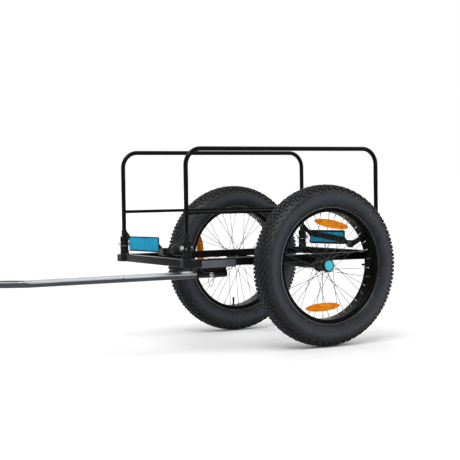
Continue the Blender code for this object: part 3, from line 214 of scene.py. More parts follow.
def drawOutline(points, closed=True):
    # One corner is pulled along the outline, edge by edge; the piece stays in edit mode, all selected
    selectOnly()
    bpy.ops.mesh.primitive_plane_add(size=0.001)
    piece = bpy.context.object
    bpy.ops.object.mode_set(mode="EDIT")
    bpy.ops.mesh.select_mode(type="VERT")
    bpy.ops.mesh.merge(type="CENTER")
    bpy.ops.transform.translate(value=points[0])
    last = Vector(points[0])
    for point in points[1:] + (points[:1] if closed else []):
        extrudeBy(Vector(point) - last)
        last = Vector(point)
    bpy.ops.mesh.select_all(action="SELECT")
    bpy.ops.mesh.remove_doubles(threshold=1e-6)
    return piece


def onAxis(axis, along, first=0, second=0):
    return {"X": (along, first, second), "Y": (first, along, second), "Z": (first, second, along)}[axis]


def turnedPiece(outline, steps, axis="Y", solid=False):
    # A lathe: the outline is given as (along the axis, radius); a solid one is closed at the axis
    if solid:
        outline = [(outline[0][0], 0.0), *outline, (outline[-1][0], 0.0)]
    points = [onAxis(axis, a, 0, r) if axis == "X" else onAxis(axis, a, r) for a, r in outline]
    piece = drawOutline(points, not solid)
    bpy.ops.mesh.spin(steps=steps, angle=2 * pi, center=(0, 0, 0), axis=onAxis(axis, 1))
    finishMesh(2e-6)
    return smoothByAngle(piece)


def extrudedPiece(outline, start, end, axis):
    # A flat outline pulled straight from start to end along the axis
    piece = drawOutline([onAxis(axis, start, a, b) for a, b in outline])
    bpy.ops.mesh.edge_face_add()
    extrudeBy(onAxis(axis, end - start))
    finishMesh(0)
    return piece


def curveAlong(lines, radius, sides, swell=None):
    # A round curve through one or more lines of points; swell gives each point its share of the radius
    selectOnly()
    bpy.ops.curve.primitive_bezier_curve_add()
    curve = bpy.context.object
    curve.data.splines.clear()
    curve.data.dimensions = "3D"
    for line in lines:
        spline = curve.data.splines.new("POLY")
        spline.points.add(len(line) - 1)
        for index, point in enumerate(line):
            spline.points[index].co = (*point, 1)
            spline.points[index].radius = swell[index] if swell else 1
    curve.data.bevel_depth = radius
    curve.data.bevel_resolution = sides
    curve.data.use_fill_caps = True
    return bakeTransform(curve)


def bentTube(lines, radius, sides=5, swell=None):
    curveAlong(lines, radius, sides, swell)
    bpy.ops.object.convert(target="MESH")
    tube = bpy.context.object
    bpy.ops.object.mode_set(mode="EDIT")
    finishMesh(1e-6)
    return smoothByAngle(tube, 50)


def roundedLine(points, radius, steps, leastTurn=20):
    # The points, with each sharp corner replaced by an arc
    line = [Vector(points[0])]
    for before, corner, after in zip(points, points[1:], points[2:]):
        corner = Vector(corner)
        into = (corner - Vector(before)).normalized()
        out = (Vector(after) - corner).normalized()
        bend = into.angle(out)
        if bend < radians(leastTurn):
            line.append(corner)
            continue
        start = corner - into * radius * tan(bend / 2)
        centre = corner + (out - into).normalized() * radius / cos(bend / 2)
        hinge = into.cross(out).normalized()
        for step in range(steps + 1):
            line.append(centre + Matrix.Rotation(bend * step / steps, 3, hinge) @ (start - centre))
    line.append(Vector(points[-1]))
    return line


def smoothLine(knots, steps):
    # A smooth line through the knots
    knots = [Vector(knot) for knot in knots]
    padded = [knots[0] * 2 - knots[1], *knots, knots[-1] * 2 - knots[-2]]
    line = []
    for a, b, c, d in zip(padded, padded[1:], padded[2:], padded[3:]):
        for step in range(steps):
            t = step / steps
            line.append(0.5 * (2 * b + (c - a) * t + (2 * a - 5 * b + 4 * c - d) * t * t
                               + (3 * b - 3 * c + d - a) * t * t * t))
    line.append(knots[-1])
    return line


def copyOf(source, move=(0, 0, 0), flipX=False, flipY=False, turnY=0.0):
    copy = source.copy()
    copy.data = source.data.copy()
    bpy.context.scene.collection.objects.link(copy)
    flip = Matrix.Diagonal((-1 if flipX else 1, -1 if flipY else 1, 1, 1))
    copy.data.transform(Matrix.Translation(move) @ Matrix.Rotation(turnY, 4, "Y") @ flip)
    if flipX != flipY:
        copy.data.flip_normals()
    return copy


def dress(piece, name, finish, body, *nodes):
    # Names a finished piece, gives it its finish and body, and lets it stand for its CAD nodes
    material, slot = finishes[finish]
    piece.name = name
    piece.data.name = name
    piece.data.materials.clear()
    piece.data.materials.append(material)
    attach(piece, body)
    if nodes:
        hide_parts(*nodes)
    return piece


def fit(source, name, finish, body, *nodes, **placing):
    return dress(copyOf(source, **placing), name, finish, body, *nodes)


# Finishes: each works in the node tree that startFinish opens

work = {}


def linear(hexColour):
    shares = [int(hexColour[i:i + 2], 16) / 255 for i in (1, 3, 5)]
    return (*[c / 12.92 if c <= 0.04045 else ((c + 0.055) / 1.055) ** 2.4 for c in shares], 1)


def addNode(kind, inputs=None, **settings):
    node = work["tree"].nodes.new(f"ShaderNode{kind}")
    for key, value in settings.items():
        setattr(node, key, value)
    for socket, value in (inputs or {}).items():
        if isinstance(value, bpy.types.NodeSocket):
            work["tree"].links.new(value, node.inputs[socket])
        else:
            node.inputs[socket].default_value = value
    return node


def startFinish(name, roughness, metallic=0.0, **sockets):
    material = bpy.data.materials.new(name)
    material.use_nodes = True
    work["tree"] = material.node_tree
    work["shader"] = material.node_tree.nodes["Principled BSDF"]
    for socket, value in {"Roughness": roughness, "Metallic": metallic, **sockets}.items():
        work["shader"].inputs[socket.replace("_", " ")].default_value = value
    work["place"] = addNode("TexCoord").outputs["Object"]
    return material


def linkSockets(**links):
    for socket, output in links.items():
        work["tree"].links.new(output, work["shader"].inputs[socket.replace("_", " ")])


def noiseOf(sizeMm, detail, stretch=(1, 1, 1)):
    # Noise whose features are about sizeMm across; stretch above 1 draws them out along that axis
    mapped = addNode("Mapping", {"Vector": work["place"], "Scale": [1 / s for s in stretch]})
    inputs = {"Vector": mapped.outputs["Vector"], "Scale": 1000 / sizeMm, "Detail": detail}
    return addNode("TexNoise", inputs).outputs["Fac"]


def rangeOf(value, low, high, outLow=0, outHigh=1):
    return addNode("MapRange", {"Value": value, "From Min": low, "From Max": high, "To Min": outLow,
                                "To Max": outHigh}).outputs["Result"]


def mixOf(base, *layers):
    # Lays colours over the base, each with its share; colours are sRGB hex values or sockets
    for share, tone in layers:
        ends = [linear(c) if isinstance(c, str) else c for c in (base, tone)]
        base = addNode("Mix", {0: share, 6: ends[0], 7: ends[1]}, data_type="RGBA").outputs[2]
    return base


def cloudOf(cloud, dark, pale, low=0.3, high=0.7):
    return mixOf(dark, (rangeOf(cloud, low, high), pale))


def bumpOf(height, distanceMm, strength=0.35, **under):
    return addNode("Bump", {"Height": height, "Distance": distanceMm / 1000, "Strength": strength,
                            **under}).outputs["Normal"]


def addMath(operation, first, second=0.0):
    return addNode("Math", {0: first, 1: second}, operation=operation).outputs[0]


def product(first, second):
    return addMath("MULTIPLY", first, second)


def wavesOf(value, period):
    return addMath("SINE", product(value, 2 * pi / period))


def partsOf(vector):
    return addNode("SeparateXYZ", {"Vector": vector}).outputs


def wheelRadius():
    # Distance from the axle's centre line
    offset = {0: work["place"], 1: (axleX, 0, axleZ)}
    parts = partsOf(addNode("VectorMath", offset, operation="SUBTRACT").outputs[0])
    flat = addNode("CombineXYZ", {"X": parts["X"], "Z": parts["Z"]}).outputs[0]
    return addNode("VectorMath", {0: flat}, operation="LENGTH").outputs["Value"]


def grainFinish(name, rough, metal, tones, sizes, roughs, relief=0.03, **sockets):
    # One cloudy tone under a fine grain; sizes are those of the clouds and of the grain in millimetres
    material = startFinish(name, rough, metal, **sockets)
    cloud = noiseOf(sizes[0], 4)
    linkSockets(Base_Color=cloudOf(cloud, *tones), Roughness=rangeOf(cloud, 0.3, 0.7, *roughs),
                Normal=bumpOf(noiseOf(sizes[1], 3), relief))
    return material


def oxideFinish(name, tones, metal, rough):
    # Metal under a thin film, lighter where it is handled
    return grainFinish(name, rough, metal, tones, (9, 0.6), (rough - 0.08, rough + 0.08),
                       Specular_IOR_Level=0.30)


def powderCoat():
    # Polyester powder coat: deep gloss black with a faint orange peel and dull hand marks
    material = startFinish("black_powder_coat", 0.22, IOR=1.5, Specular_IOR_Level=0.05)
    marks = noiseOf(60, 5)
    dust = rangeOf(noiseOf(7, 6), 0.58, 0.80, 0, 0.05)
    linkSockets(Base_Color=mixOf(cloudOf(marks, "#08090A", "#0E0F11", 0.35, 0.75), (dust, "#5B574F")),
                Roughness=rangeOf(marks, 0.3, 0.8, 0.17, 0.33), Normal=bumpOf(noiseOf(3, 2), 0.02, 0.15))
    return material


def tyreRubber():
    # Moulded tyre rubber: satin charcoal with mould rings on the side wall, duller and dustier on the tread
    material = startFinish("tyre_rubber_moulded", 0.60, IOR=1.52, Specular_IOR_Level=0.17)
    radius, cloud = wheelRadius(), noiseOf(70, 5)
    ringSpacing = 0.0052   # the real rings are finer; these still show at the picture's size
    rings = product(wavesOf(radius, ringSpacing), rangeOf(radius, 0.262, 0.257))
    # Painted highlight: a lighter band round the middle of the side wall, where its bulge would catch the
    # lamps
    paintedHighlightBand = product(rangeOf(radius, 0.222, 0.243), rangeOf(radius, 0.262, 0.250))
    # Painted shade: the side wall darkens towards the bead, in the crease against the rim
    bead = rangeOf(radius, 0.226, 0.214, 0, 0.8)
    scuff = rangeOf(noiseOf(16, 6), 0.50, 0.75, 0, 0.45)
    # Painted shade: the casing between the tread blocks is darkened, as if in their shade
    root = product(rangeOf(radius, 0.2885, 0.2855, 0, 0.8), rangeOf(radius, 0.272, 0.276))
    dust = product(rangeOf(noiseOf(6, 6), 0.50, 0.75, 0, 0.30), rangeOf(radius, 0.262, 0.276, 0.2, 1))
    base = mixOf(cloudOf(cloud, "#0E1013", "#1E2127", 0.32, 0.68), (product(paintedHighlightBand, 0.75), "#363C45"),
                 (bead, "#08090A"), (scuff, "#3A3E44"), (root, "#0A0B0C"), (dust, "#57534C"))
    rough = addMath("ADD", rangeOf(cloud, 0.3, 0.7, 0.36, 0.50), rangeOf(radius, 0.262, 0.270, 0, 0.04))
    linkSockets(Base_Color=base, Roughness=rough,
                Normal=bumpOf(rings, 0.25, 0.45, Normal=bumpOf(noiseOf(1.1, 4), 0.22, 0.4)))
    return material


def rimEnamel():
    # Gloss black enamel on a rolled aluminium rim, with a broken pale line painted along the hooked edge as
    # its highlight
    material = startFinish("black_rim_enamel", 0.30, IOR=1.5, Specular_IOR_Level=0.03)
    # Painted highlight: a broken pale ring along the hooked edge, where the edge would catch the light
    cloud, highlightBreakup = noiseOf(26, 5), rangeOf(noiseOf(3.5, 4), 0.35, 0.6, 0.45, 0.9)
    paintedEdgeHighlight = product(rangeOf(wheelRadius(), 0.2082, 0.2096), highlightBreakup)
    linkSockets(Base_Color=mixOf(cloudOf(cloud, "#050506", "#0B0C0D"), (paintedEdgeHighlight, "#8C9094")),
                Roughness=rangeOf(cloud, 0.3, 0.7, 0.24, 0.38))
    return material


def drawnAluminium(name, dark, pale, rough, scratch, metal=1.0, under=None):
    # Extruded aluminium, anodised, with fine draw lines along its length; under adds painted shade below and
    # a painted dark reflection in front
    material = startFinish(name, rough, metal)
    lines, cloud = noiseOf(1.4, 3, (60, 1, 1)), noiseOf(45, 4, (3, 1, 1))
    rub = rangeOf(noiseOf(5, 6, (14, 1, 1)), 0.62, 0.75, 0, scratch)
    base = mixOf(cloudOf(cloud, dark, pale), (rub, "#C9CDD0"))
    if under:
        normal = partsOf(addNode("TexCoord").outputs["Normal"])
        ragged = rangeOf(cloud, 0.3, 0.7, -0.05, 0.05)
        # Painted dark reflection: sides turned forward are darkened where a lamp's glint would fall
        paintedDarkReflection = rangeOf(addMath("SUBTRACT", ragged, normal["X"]), 0.10, 0.28, 0, 0.9)
        # Painted shade: the downward-facing half takes the under colour, darker than the lit top
        paintedUndersideShade = rangeOf(addMath("ADD", normal["Z"], ragged), 0.16, 0.02)
        base = mixOf(base, (paintedDarkReflection, "#1C1E20"), (paintedUndersideShade, under))
    linkSockets(Base_Color=base, Roughness=rangeOf(lines, 0.3, 0.7, rough - 0.06, rough + 0.10),
                Normal=bumpOf(lines, 0.03))
    return material


def tealCap():
    # Painted aluminium cap: satin turquoise with fine turning marks about its own centre
    material = startFinish("turquoise_cap", 0.36, IOR=1.5, Coat_Weight=0.25, Coat_Roughness=0.2)
    cloud = noiseOf(11, 4)
    linkSockets(Base_Color=cloudOf(cloud, "#14ABBF", "#22BCCE"),
                Roughness=rangeOf(cloud, 0.3, 0.7, 0.30, 0.44),
                Normal=bumpOf(wavesOf(wheelRadius(), 0.0009), 0.02, 0.3))
    return material


def prismAmber():
    # Clear amber reflector: pressed cube-corner prisms under a polished face, with brighter patches and cells
    # painted on as glints
    material = startFinish("amber_prism_plastic", 0.16, IOR=1.49, Specular_IOR_Level=0.08)
    cells = addNode("TexVoronoi", {"Vector": work["place"], "Scale": 1000 / 3.2, "Randomness": 0.35},
                    feature="F1").outputs
    # Painted glints: patches and single prisms made brighter, as if flashing back the lamps
    paintedFlashPatches = rangeOf(noiseOf(16, 4, (1, 1, 0.5)), 0.38, 0.62, 0, 0.6)
    paintedGlints = addMath("ADD", rangeOf(partsOf(cells["Color"])["X"], 0, 1, 0, 0.4), paintedFlashPatches)
    edge = rangeOf(cells["Distance"], 0.25, 0.8, 0, 0.8)
    linkSockets(Base_Color=mixOf("#C95A00", (paintedGlints, "#F7A01E"), (edge, "#C25C02")),
                Normal=bumpOf(cells["Distance"], 0.5, 0.5))
    return material


def wovenCloth(name, dark, pale, threadMm):
    # Plain-woven polyester: warp and weft crossing over and under, with a soft sheen
    material = startFinish(name, 0.85, Sheen_Weight=0.04, Specular_IOR_Level=0.10)
    parts = partsOf(work["place"])
    weave = product(wavesOf(parts["Y"], threadMm / 500), wavesOf(parts["Z"], threadMm / 500))
    tone = addMath("ADD", rangeOf(weave, -1, 1, 0, 0.5), rangeOf(noiseOf(18, 4), 0.3, 0.7, 0, 0.5))
    linkSockets(Base_Color=mixOf(dark, (tone, pale)),
                Normal=bumpOf(weave, 0.25, 0.7, Normal=bumpOf(noiseOf(0.7, 3), 0.10, 0.4)))
    return material


def beltWebbing():
    # Woven polypropylene webbing: raised chevron ribs along the strap
    material = startFinish("black_belt_webbing", 0.55, Specular_IOR_Level=0.10)
    parts = partsOf(work["place"])
    rib = 0.0028   # real ribs are about 1.4 mm apart; drawn twice as coarse so that they show
    ribs = wavesOf(addMath("ADD", parts["Y"], addMath("PINGPONG", parts["Z"], rib)), rib)
    linkSockets(Base_Color=mixOf("#08090A", (rangeOf(ribs, -1, 1), "#17181A")),
                Normal=bumpOf(ribs, 0.3, 0.7, Normal=bumpOf(noiseOf(0.6, 3), 0.08, 0.4)))
    return material


def lanyardCoat():
    # Braided wire in a black vinyl sleeve: the braid shows faintly through it
    material = startFinish("vinyl_coated_cable", 0.42, IOR=1.5)
    braid = addNode("TexWave", {"Vector": work["place"], "Scale": 1000 / 1.6 / 6.28, "Distortion": 0.4},
                    bands_direction="DIAGONAL").outputs["Fac"]
    linkSockets(Base_Color=mixOf("#0F1011", (noiseOf(6, 3), "#1D1E20")), Normal=bumpOf(braid, 0.12, 0.5))
    return material


# Each finish with the slot that it fills
finishes = {
    "coat": (powderCoat(), "black_paint"),
    "rubber": (tyreRubber(), "tyre_rubber"),
    "nylon": (grainFinish("black_nylon_moulded", 0.36, 0.0, ("#0B0C0D", "#131416"), (24, 0.8),
                          (0.31, 0.46), 0.06, IOR=1.53, Specular_IOR_Level=0.12), "black_plastic"),
    "enamel": (rimEnamel(), "black_paint"),
    # under: the colour of the drawbar's painted underside shade
    "drawbar": (drawnAluminium("drawn_aluminium_clear", "#A3A8AC", "#B8BCBF", 0.28, 0.35, under="#45494E"),
                "bare_aluminium"),
    "saddle": (drawnAluminium("dark_anodised_aluminium", "#45484C", "#565A5E", 0.48, 0.18, 0.45),
               "grey_anodised"),
    "zinc": (grainFinish("bright_zinc_plate", 0.27, 1.0, ("#B4B7BA", "#C9C6BC"), (7, 0.7), (0.20, 0.36)),
             "zinc_steel"),
    "oxide": (oxideFinish("black_oxide_steel", ("#131416", "#202124"), 0.35, 0.36), "dark_steel"),
    "spring": (oxideFinish("oiled_spring_steel", ("#5A5F64", "#767B80"), 0.9, 0.30), "zinc_steel"),
    "spoke": (oxideFinish("black_stainless_spoke", ("#0E0F10", "#1B1C1E"), 0.0, 0.34), "dark_steel"),
    "nipple": (oxideFinish("nickel_brass_nipple", ("#8E8A7C", "#A8A394"), 0.9, 0.32), "dark_steel"),
    "blackZinc": (oxideFinish("black_zinc_chromate", ("#26272A", "#3C3E41"), 0.8, 0.28), "zinc_steel"),
    "teal": (tealCap(), "teal_plastic"),
    "amber": (prismAmber(), "amber_plastic"),
    "padCloth": (wovenCloth("turquoise_pad_canvas", "#007DA4", "#05A2CA", 1.1), "teal_fabric"),
    "binding": (wovenCloth("black_binding_tape", "#0E0F10", "#1E1F21", 0.9), "black_webbing"),
    "stitch": (wovenCloth("stitching_thread", "#17181A", "#34363A", 0.5), "black_webbing"),
    "webbing": (beltWebbing(), "black_webbing"),
    "cable": (lanyardCoat(), "cord_black"),
}
finishes["valve"] = (finishes["nylon"][0], "black_paint")
print("finishes made:", len(finishes))


# Camera at the photograph's place, and the lanyards, which are cords

cameraFacts = {"place": (-2.5171 + axleX, -4.0358, 0.5795), "yaw": 0.5202, "pitch": 0.0358, "roll": -0.0149,
               "focal": 97.25, "shiftY": 1.4 / 460}


def placeCamera(facts):
    yaw, pitch, roll = facts["yaw"], facts["pitch"], facts["roll"]
    right = Vector((cos(yaw), -sin(yaw), 0))
    ahead = Vector((sin(yaw) * cos(pitch), cos(yaw) * cos(pitch), -sin(pitch)))
    up = right.cross(ahead)
    rows = (right * cos(roll) + up * sin(roll), up * cos(roll) - right * sin(roll), -ahead)
    bpy.ops.object.camera_add(location=facts["place"])
    camera = bpy.context.object
    camera.matrix_world = Matrix.Translation(facts["place"]) @ Matrix(rows).transposed().to_4x4()
    camera.data.sensor_width = 36
    camera.data.lens = facts["focal"]
    camera.data.shift_y = facts["shiftY"]
    bpy.context.scene.camera = camera


placeCamera(cameraFacts)

pinFacts = {"rise": 0.0545, "radius": 0.0030, "headRadius": 0.0075, "headLength": 0.0080, "tip": 0.0060,
            "wire": 0.0011, "wireCorner": 0.0020, "socket": 0.0155, "receiver": 0.0163, "hoopDepth": 0.0225,
            "drawbarDepth": 0.0450}
lanyardFacts = {"diameter": 0.003, "anchor": 0.0174, "saddleAnchor": 0.0460}


def makeLanyard(name, knots, node):
    line = smoothLine(knots, 3)
    cord = dress(curveAlong([line], lanyardFacts["diameter"] / 2, 4), name, "cable", "frame", node)


def makeLanyards():
    pinZ = tubeZ + pinFacts["rise"]
    head = pinFacts["socket"] + 2 * gap + pinFacts["headLength"]
    anchor, nodeTop = lanyardFacts["anchor"], tubeZ + tubeSide / 2
    # From the pin's head to the corner node: along the tube, outward, and height
    knots = [(head, 0, pinZ), (head + 0.004, 0, pinZ), (head + 0.0085, 0, pinZ + 0.0010),
             (head + 0.011, 0.002, pinZ + 0.011), (head + 0.020, 0.003, pinZ + 0.015),
             (head + 0.032, 0.004, pinZ + 0.008), (head + 0.0395, 0.004, pinZ - 0.005),
             (head + 0.034, 0.004, pinZ - 0.019), (head + 0.018, 0.003, pinZ - 0.024),
             (anchor + 0.0025, 0.001, pinZ - 0.027), (anchor, 0, nodeTop + 0.0090),
             (anchor, 0, nodeTop + 0.0040), (anchor, 0, nodeTop + gap)]
    for end, side in corners:
        sign = sideSign[side]
        placed = [(postX[end] + sign * a, sign * (postY + b), z) for a, b, z in knots]
        makeLanyard(f"cable_{end}_{side}", placed, f"lanyard_{end}_{side}")
    reach = barY - pinFacts["receiver"] - 2 * gap - pinFacts["headLength"]
    saddleX, saddleY = pinX - lanyardFacts["saddleAnchor"], reach - 0.0010
    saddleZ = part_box("drawbar_saddle")[0].z
    knots = [(pinX, reach, barZ), (pinX, reach - 0.0040, barZ),
             (pinX - 0.0010, reach - 0.0085, barZ + 0.0005),
             (pinX - 0.0140, reach - 0.0120, barZ + 0.0040), (pinX - 0.0290, reach - 0.0060, barZ + 0.0085),
             (pinX - 0.0410, reach - 0.0025, saddleZ - 0.0140), (saddleX, saddleY, saddleZ - 0.0095),
             (saddleX, saddleY, saddleZ - 0.0045), (saddleX, saddleY, saddleZ - gap)]
    makeLanyard("cable_drawbar", knots, "lanyard_drawbar")


makeLanyards()
print("camera and lanyards placed")


# Wheels: each piece is made about the origin for the right wheel, outboard at +Y, then copied to both sides

valveAngle = {"left": radians(-1.5), "right": radians(-91.5)}


def fitToWheels(source, name, finish, *nodes, atValve=False, body="wheel_{}"):
    for side, sign in sideSign.items():
        fit(source, f"{side}_{name}", finish, body.format(side), *[f"wheel_{side}_{node}" for node in nodes],
            move=(axleX, sign * wheelY, axleZ), flipY=side == "left",
            turnY=-valveAngle[side] if atValve else 0)
    discard(source)


tyreFacts = {"steps": 144, "pitches": 60, "crown": 0.2868, "shoulder": 14,
             # Half of the casing's outer wall, as (across, radius), from the bead to the crown
             "wall": [(0.0300, 0.2010), (0.0320, 0.2020), (0.0323, 0.2105), (0.0352, 0.2122),
                      (0.0378, 0.2150), (0.0386, 0.2172), (0.0389, 0.2186), (0.0397, 0.2190),
                      (0.0403, 0.2202), (0.0424, 0.2240), (0.0450, 0.2296), (0.0469, 0.2360),
                      (0.0477, 0.2425), (0.0475, 0.2490), (0.0463, 0.2552), (0.0443, 0.2610),
                      (0.0415, 0.2660), (0.0372, 0.2712), (0.0322, 0.2762), (0.0265, 0.2818),
                      (0.0190, 0.2851), (0.0095, 0.2864)],
             "inside": [(0.0000, 0.2815), (0.0180, 0.2805), (0.0300, 0.2740), (0.0390, 0.2640),
                        (0.0432, 0.2480), (0.0425, 0.2340), (0.0360, 0.2200), (0.0290, 0.2120),
                        (0.0262, 0.2020)],
             # Blocks of one pitch: share of the pitch, across, width, length, height, twist in degrees
             "blocks": [(0.0, 0.0, 0.0135, 0.0105, 0.0049, 0), (0.0, 0.0195, 0.0110, 0.0100, 0.0050, 14),
                        (0.0, 0.0325, 0.0125, 0.0120, 0.0062, 0), (0.5, 0.0105, 0.0110, 0.0100, 0.0049, -12),
                        (0.5, 0.0270, 0.0105, 0.0095, 0.0054, 10), (0.5, 0.0400, 0.0095, 0.0125, 0.0026, 0)],
             "sunk": 0.0012, "taper": (0.80, 0.84, 1), "dish": 0.0016, "dishDepth": 0.0008,
             "blockBevel": 0.0009}


def mirrored(half):
    # The other half of an outline that is given across a middle plane
    return [(-a, r) for a, r in reversed(half)]


def casingPlace(across):
    # Radius and outward lean of the casing at a place across it
    wall = tyreFacts["wall"][tyreFacts["shoulder"]:] + [(0.0, tyreFacts["crown"])]
    for (highY, highR), (lowY, lowR) in zip(wall, wall[1:]):
        if lowY <= across <= highY:
            share = (across - lowY) / (highY - lowY)
            return lowR + (highR - lowR) * share, atan2(lowR - highR, highY - lowY)
    return wall[0][1], pi / 3


def treadBlock(share, across, width, length, height, twist):
    t = tyreFacts
    radius, lean = casingPlace(abs(across))
    lean = copysign(lean, -across) if across else 0
    block = blockPiece((0, 0, (height - t["sunk"]) / 2), (length, width, height + t["sunk"]))
    pickFaces(block, lambda centre, normal: normal.z > 0.9)
    bpy.ops.transform.resize(value=t["taper"], center_override=(0, 0, height))
    bpy.ops.mesh.inset(thickness=t["dish"])
    bpy.ops.transform.translate(value=(0, 0, -t["dishDepth"]))
    leaveEdit()
    softenEdges(block, t["blockBevel"], 1, 50)
    block.data.transform(Matrix.Rotation(share * 2 * pi / t["pitches"], 4, "Y")
                         @ Matrix.Translation((0, across, radius))
                         @ Matrix.Rotation(lean, 4, "X") @ Matrix.Rotation(radians(twist), 4, "Z"))
    return block


def makeTyre():
    t = tyreFacts
    outline = [*t["wall"], (0.0, t["crown"]), *mirrored(t["wall"]), *mirrored(t["inside"][1:]), *t["inside"]]
    fitToWheels(smoothByAngle(turnedPiece(outline, t["steps"]), 60), "tyre_casing", "rubber", "tyre")
    blocks = []
    for share, across, width, length, height, twist in t["blocks"]:
        for sign in (1, -1) if across else (1,):
            blocks.append(treadBlock(share, sign * across, width, length, height, sign * twist))
    tread = joinPieces(blocks)
    bpy.ops.object.empty_add(rotation=(0, 2 * pi / t["pitches"], 0))
    turner = bpy.context.object
    applyModifier(tread, "ARRAY", count=t["pitches"], use_relative_offset=False, use_object_offset=True,
                  offset_object=turner)
    discard(turner)
    fitToWheels(tread, "tyre_tread", "rubber")


makeTyre()
print("tyres made")

rimFacts = {"steps": 144, "barrel": 0.1929, "valveRadius": 0.0042, "valveReach": 0.033, "capStart": 0.52,
            # Half of the rim's section, as (across, radius): barrel, side, hooked lip, then inside
            "section": [(0.0000, 0.1926), (0.0180, 0.1929), (0.0262, 0.1931), (0.0303, 0.1940),
                        (0.0335, 0.1962), (0.0350, 0.1995), (0.0353, 0.2030), (0.0353, 0.2088),
                        (0.0347, 0.2102), (0.0335, 0.2107), (0.0328, 0.2100), (0.0327, 0.2085),
                        (0.0332, 0.2060), (0.0331, 0.2020), (0.0318, 0.2006), (0.0268, 0.2002),
                        (0.0240, 0.1957), (0.0000, 0.1955)]}


def makeRim():
    outline = rimFacts["section"] + mirrored(rimFacts["section"][1:-1])
    fitToWheels(smoothByAngle(turnedPiece(outline, rimFacts["steps"]), 50), "rim_shell", "enamel", "rim")
    # Valve: rubber foot, threaded stem, and a ribbed cap
    r, top, reach, start = (rimFacts[key] for key in ("valveRadius", "barrel", "valveReach", "capStart"))
    foot = turnedPiece([(top + 0.001, 1.5 * r), (top - 0.0015, 1.5 * r), (top - 0.0030, r),
                        (top - 0.35 * reach, 0.82 * r), (top - start * reach, 0.80 * r)], 24, "X", solid=True)
    cap = turnedPiece([(top - share * reach, size * r) for share, size in (
        (start, 0.95), (0.58, 1), (0.93, 0.95), (0.98, 0.72), (1, 0.35))], 24, "X", solid=True)
    fluteFaces(cap, lambda centre, normal: abs(normal.x) < 0.25 and centre.x < top - 0.6 * reach
               and round(atan2(centre.y, centre.z) / radians(15)) % 2 == 0, 0.0002, -0.0003)
    fitToWheels(joinPieces([foot, cap]), "valve_stem", "valve", atValve=True)


makeRim()

hubFacts = {"steps": 56, "innerEnd": -0.0424, "outerEnd": 0.0140, "body": 0.0175, "nose": 0.0200,
            "noseLength": 0.0012, "flange": 0.0245, "flangeThick": 0.0040, "bore": 0.0100, "seat": 0.0143,
            "seatDepth": 0.0083, "soft": 0.0006, "holeCircle": 0.0212, "spokes": 36, "swing": radians(60),
            "spokeRadius": 0.0010, "rimSplay": 0.0035, "nippleRadius": 0.0019, "nippleLength": 0.013,
            "headRadius": 0.0019}
flangeInset = hubFacts["noseLength"] + hubFacts["flangeThick"] / 2


def makeHub():
    h = hubFacts
    body, nose, flange, seat, soft = h["body"], h["nose"], h["flange"], h["seat"], h["soft"]
    centre, half = (h["innerEnd"] + h["outerEnd"]) / 2, (h["outerEnd"] - h["innerEnd"]) / 2
    outer, thick = half - flangeInset, h["flangeThick"] / 2
    # The outer half of the shell, from its middle to the bearing's seat
    side = [(outer - thick - 0.006, body - 0.0012), (outer - thick - 0.0018, body + 0.0006),
            (outer - thick, body + 0.0025), (outer - thick, flange - soft), (outer - thick + soft, flange),
            (outer + thick - soft, flange), (outer + thick, flange - soft), (outer + thick, nose),
            (half - soft, nose), (half, nose - soft), (half, seat), (half - h["seatDepth"], seat),
            (half - h["seatDepth"], h["bore"])]
    outline = [(centre + a, r) for a, r in [*mirrored(side), (0, body - 0.0022), *side]]
    fitToWheels(turnedPiece(outline, h["steps"]), "hub_shell", "oxide", "hub_and_spokes")


def spokeLine(index):
    # From the rim to the hub: round its flange hole, through it, and into the spoke's head
    h = hubFacts
    outerSide, leading = index % 2 == 0, index % 4 < 2
    rimAngle = 2 * pi * (index + 0.5) / h["spokes"]
    hubAngle = rimAngle + (h["swing"] if leading else -h["swing"])
    flange = h["outerEnd"] - flangeInset if outerSide else h["innerEnd"] + flangeInset
    face = 1 if leading else -1
    outside = flange + face * (h["flangeThick"] / 2 + h["spokeRadius"])
    rimRadius = rimFacts["barrel"] - 0.0004
    splay = h["rimSplay"] if outerSide else -h["rimSplay"]
    rimEnd = Vector((rimRadius * cos(rimAngle), splay, rimRadius * sin(rimAngle)))
    hole = Vector((h["holeCircle"] * cos(hubAngle), outside, h["holeCircle"] * sin(hubAngle)))
    heading = (hole - rimEnd).normalized()
    inward = Vector((0, -face, 0))
    through = h["flangeThick"] + 2.2 * h["spokeRadius"]
    return rimEnd, heading, [rimEnd + heading * 0.004, hole - heading * 0.0016,
                             hole - heading * 0.0004 + inward * 0.0004, hole + inward * 0.0014,
                             hole + inward * through]


def makeSpokes():
    h = hubFacts
    spokes, nipples, heads = [], [], []
    for index in range(h["spokes"]):
        rimEnd, heading, line = spokeLine(index)
        spokes.append(line)
        nipples.append([rimEnd + heading * a for a in (-0.0006, 0.0006, 0.0022, 0.0100, h["nippleLength"])])
        step = (line[-1] - line[-2]).normalized()
        heads.append([line[-1] + step * a for a in (-0.0002, 0.0003, 0.0009)])
    fitToWheels(bentTube(spokes, h["spokeRadius"], 2), "spokes", "spoke")
    fitToWheels(bentTube(nipples, h["nippleRadius"], 2, [1.5, 1.3, 1.0, 1.0, 0.72]), "spoke_nipples",
                "nipple")
    fitToWheels(bentTube(heads, h["headRadius"], 2, [1.0, 0.95, 0.45]), "spoke_heads", "spoke")


makeHub()
makeSpokes()
print("rims, hubs and spokes made")

axleFacts = {"shaft": 0.0060, "head": 0.0225, "thick": 0.0086, "gap": 0.0005, "well": 0.0183,
             "button": 0.0180, "skirt": 0.0024, "dome": 0.0022, "travel": 0.0030, "steps": 72,
             "bearing": 0.004,
             # The outer half of a bearing's section, as (along, radius) from its middle
             "race": [(0.0037, 0.0140), (0.0040, 0.0137), (0.0040, 0.0122), (0.0034, 0.0118),
                      (0.0034, 0.0088), (0.0040, 0.0084), (0.0040, 0.0063)]}


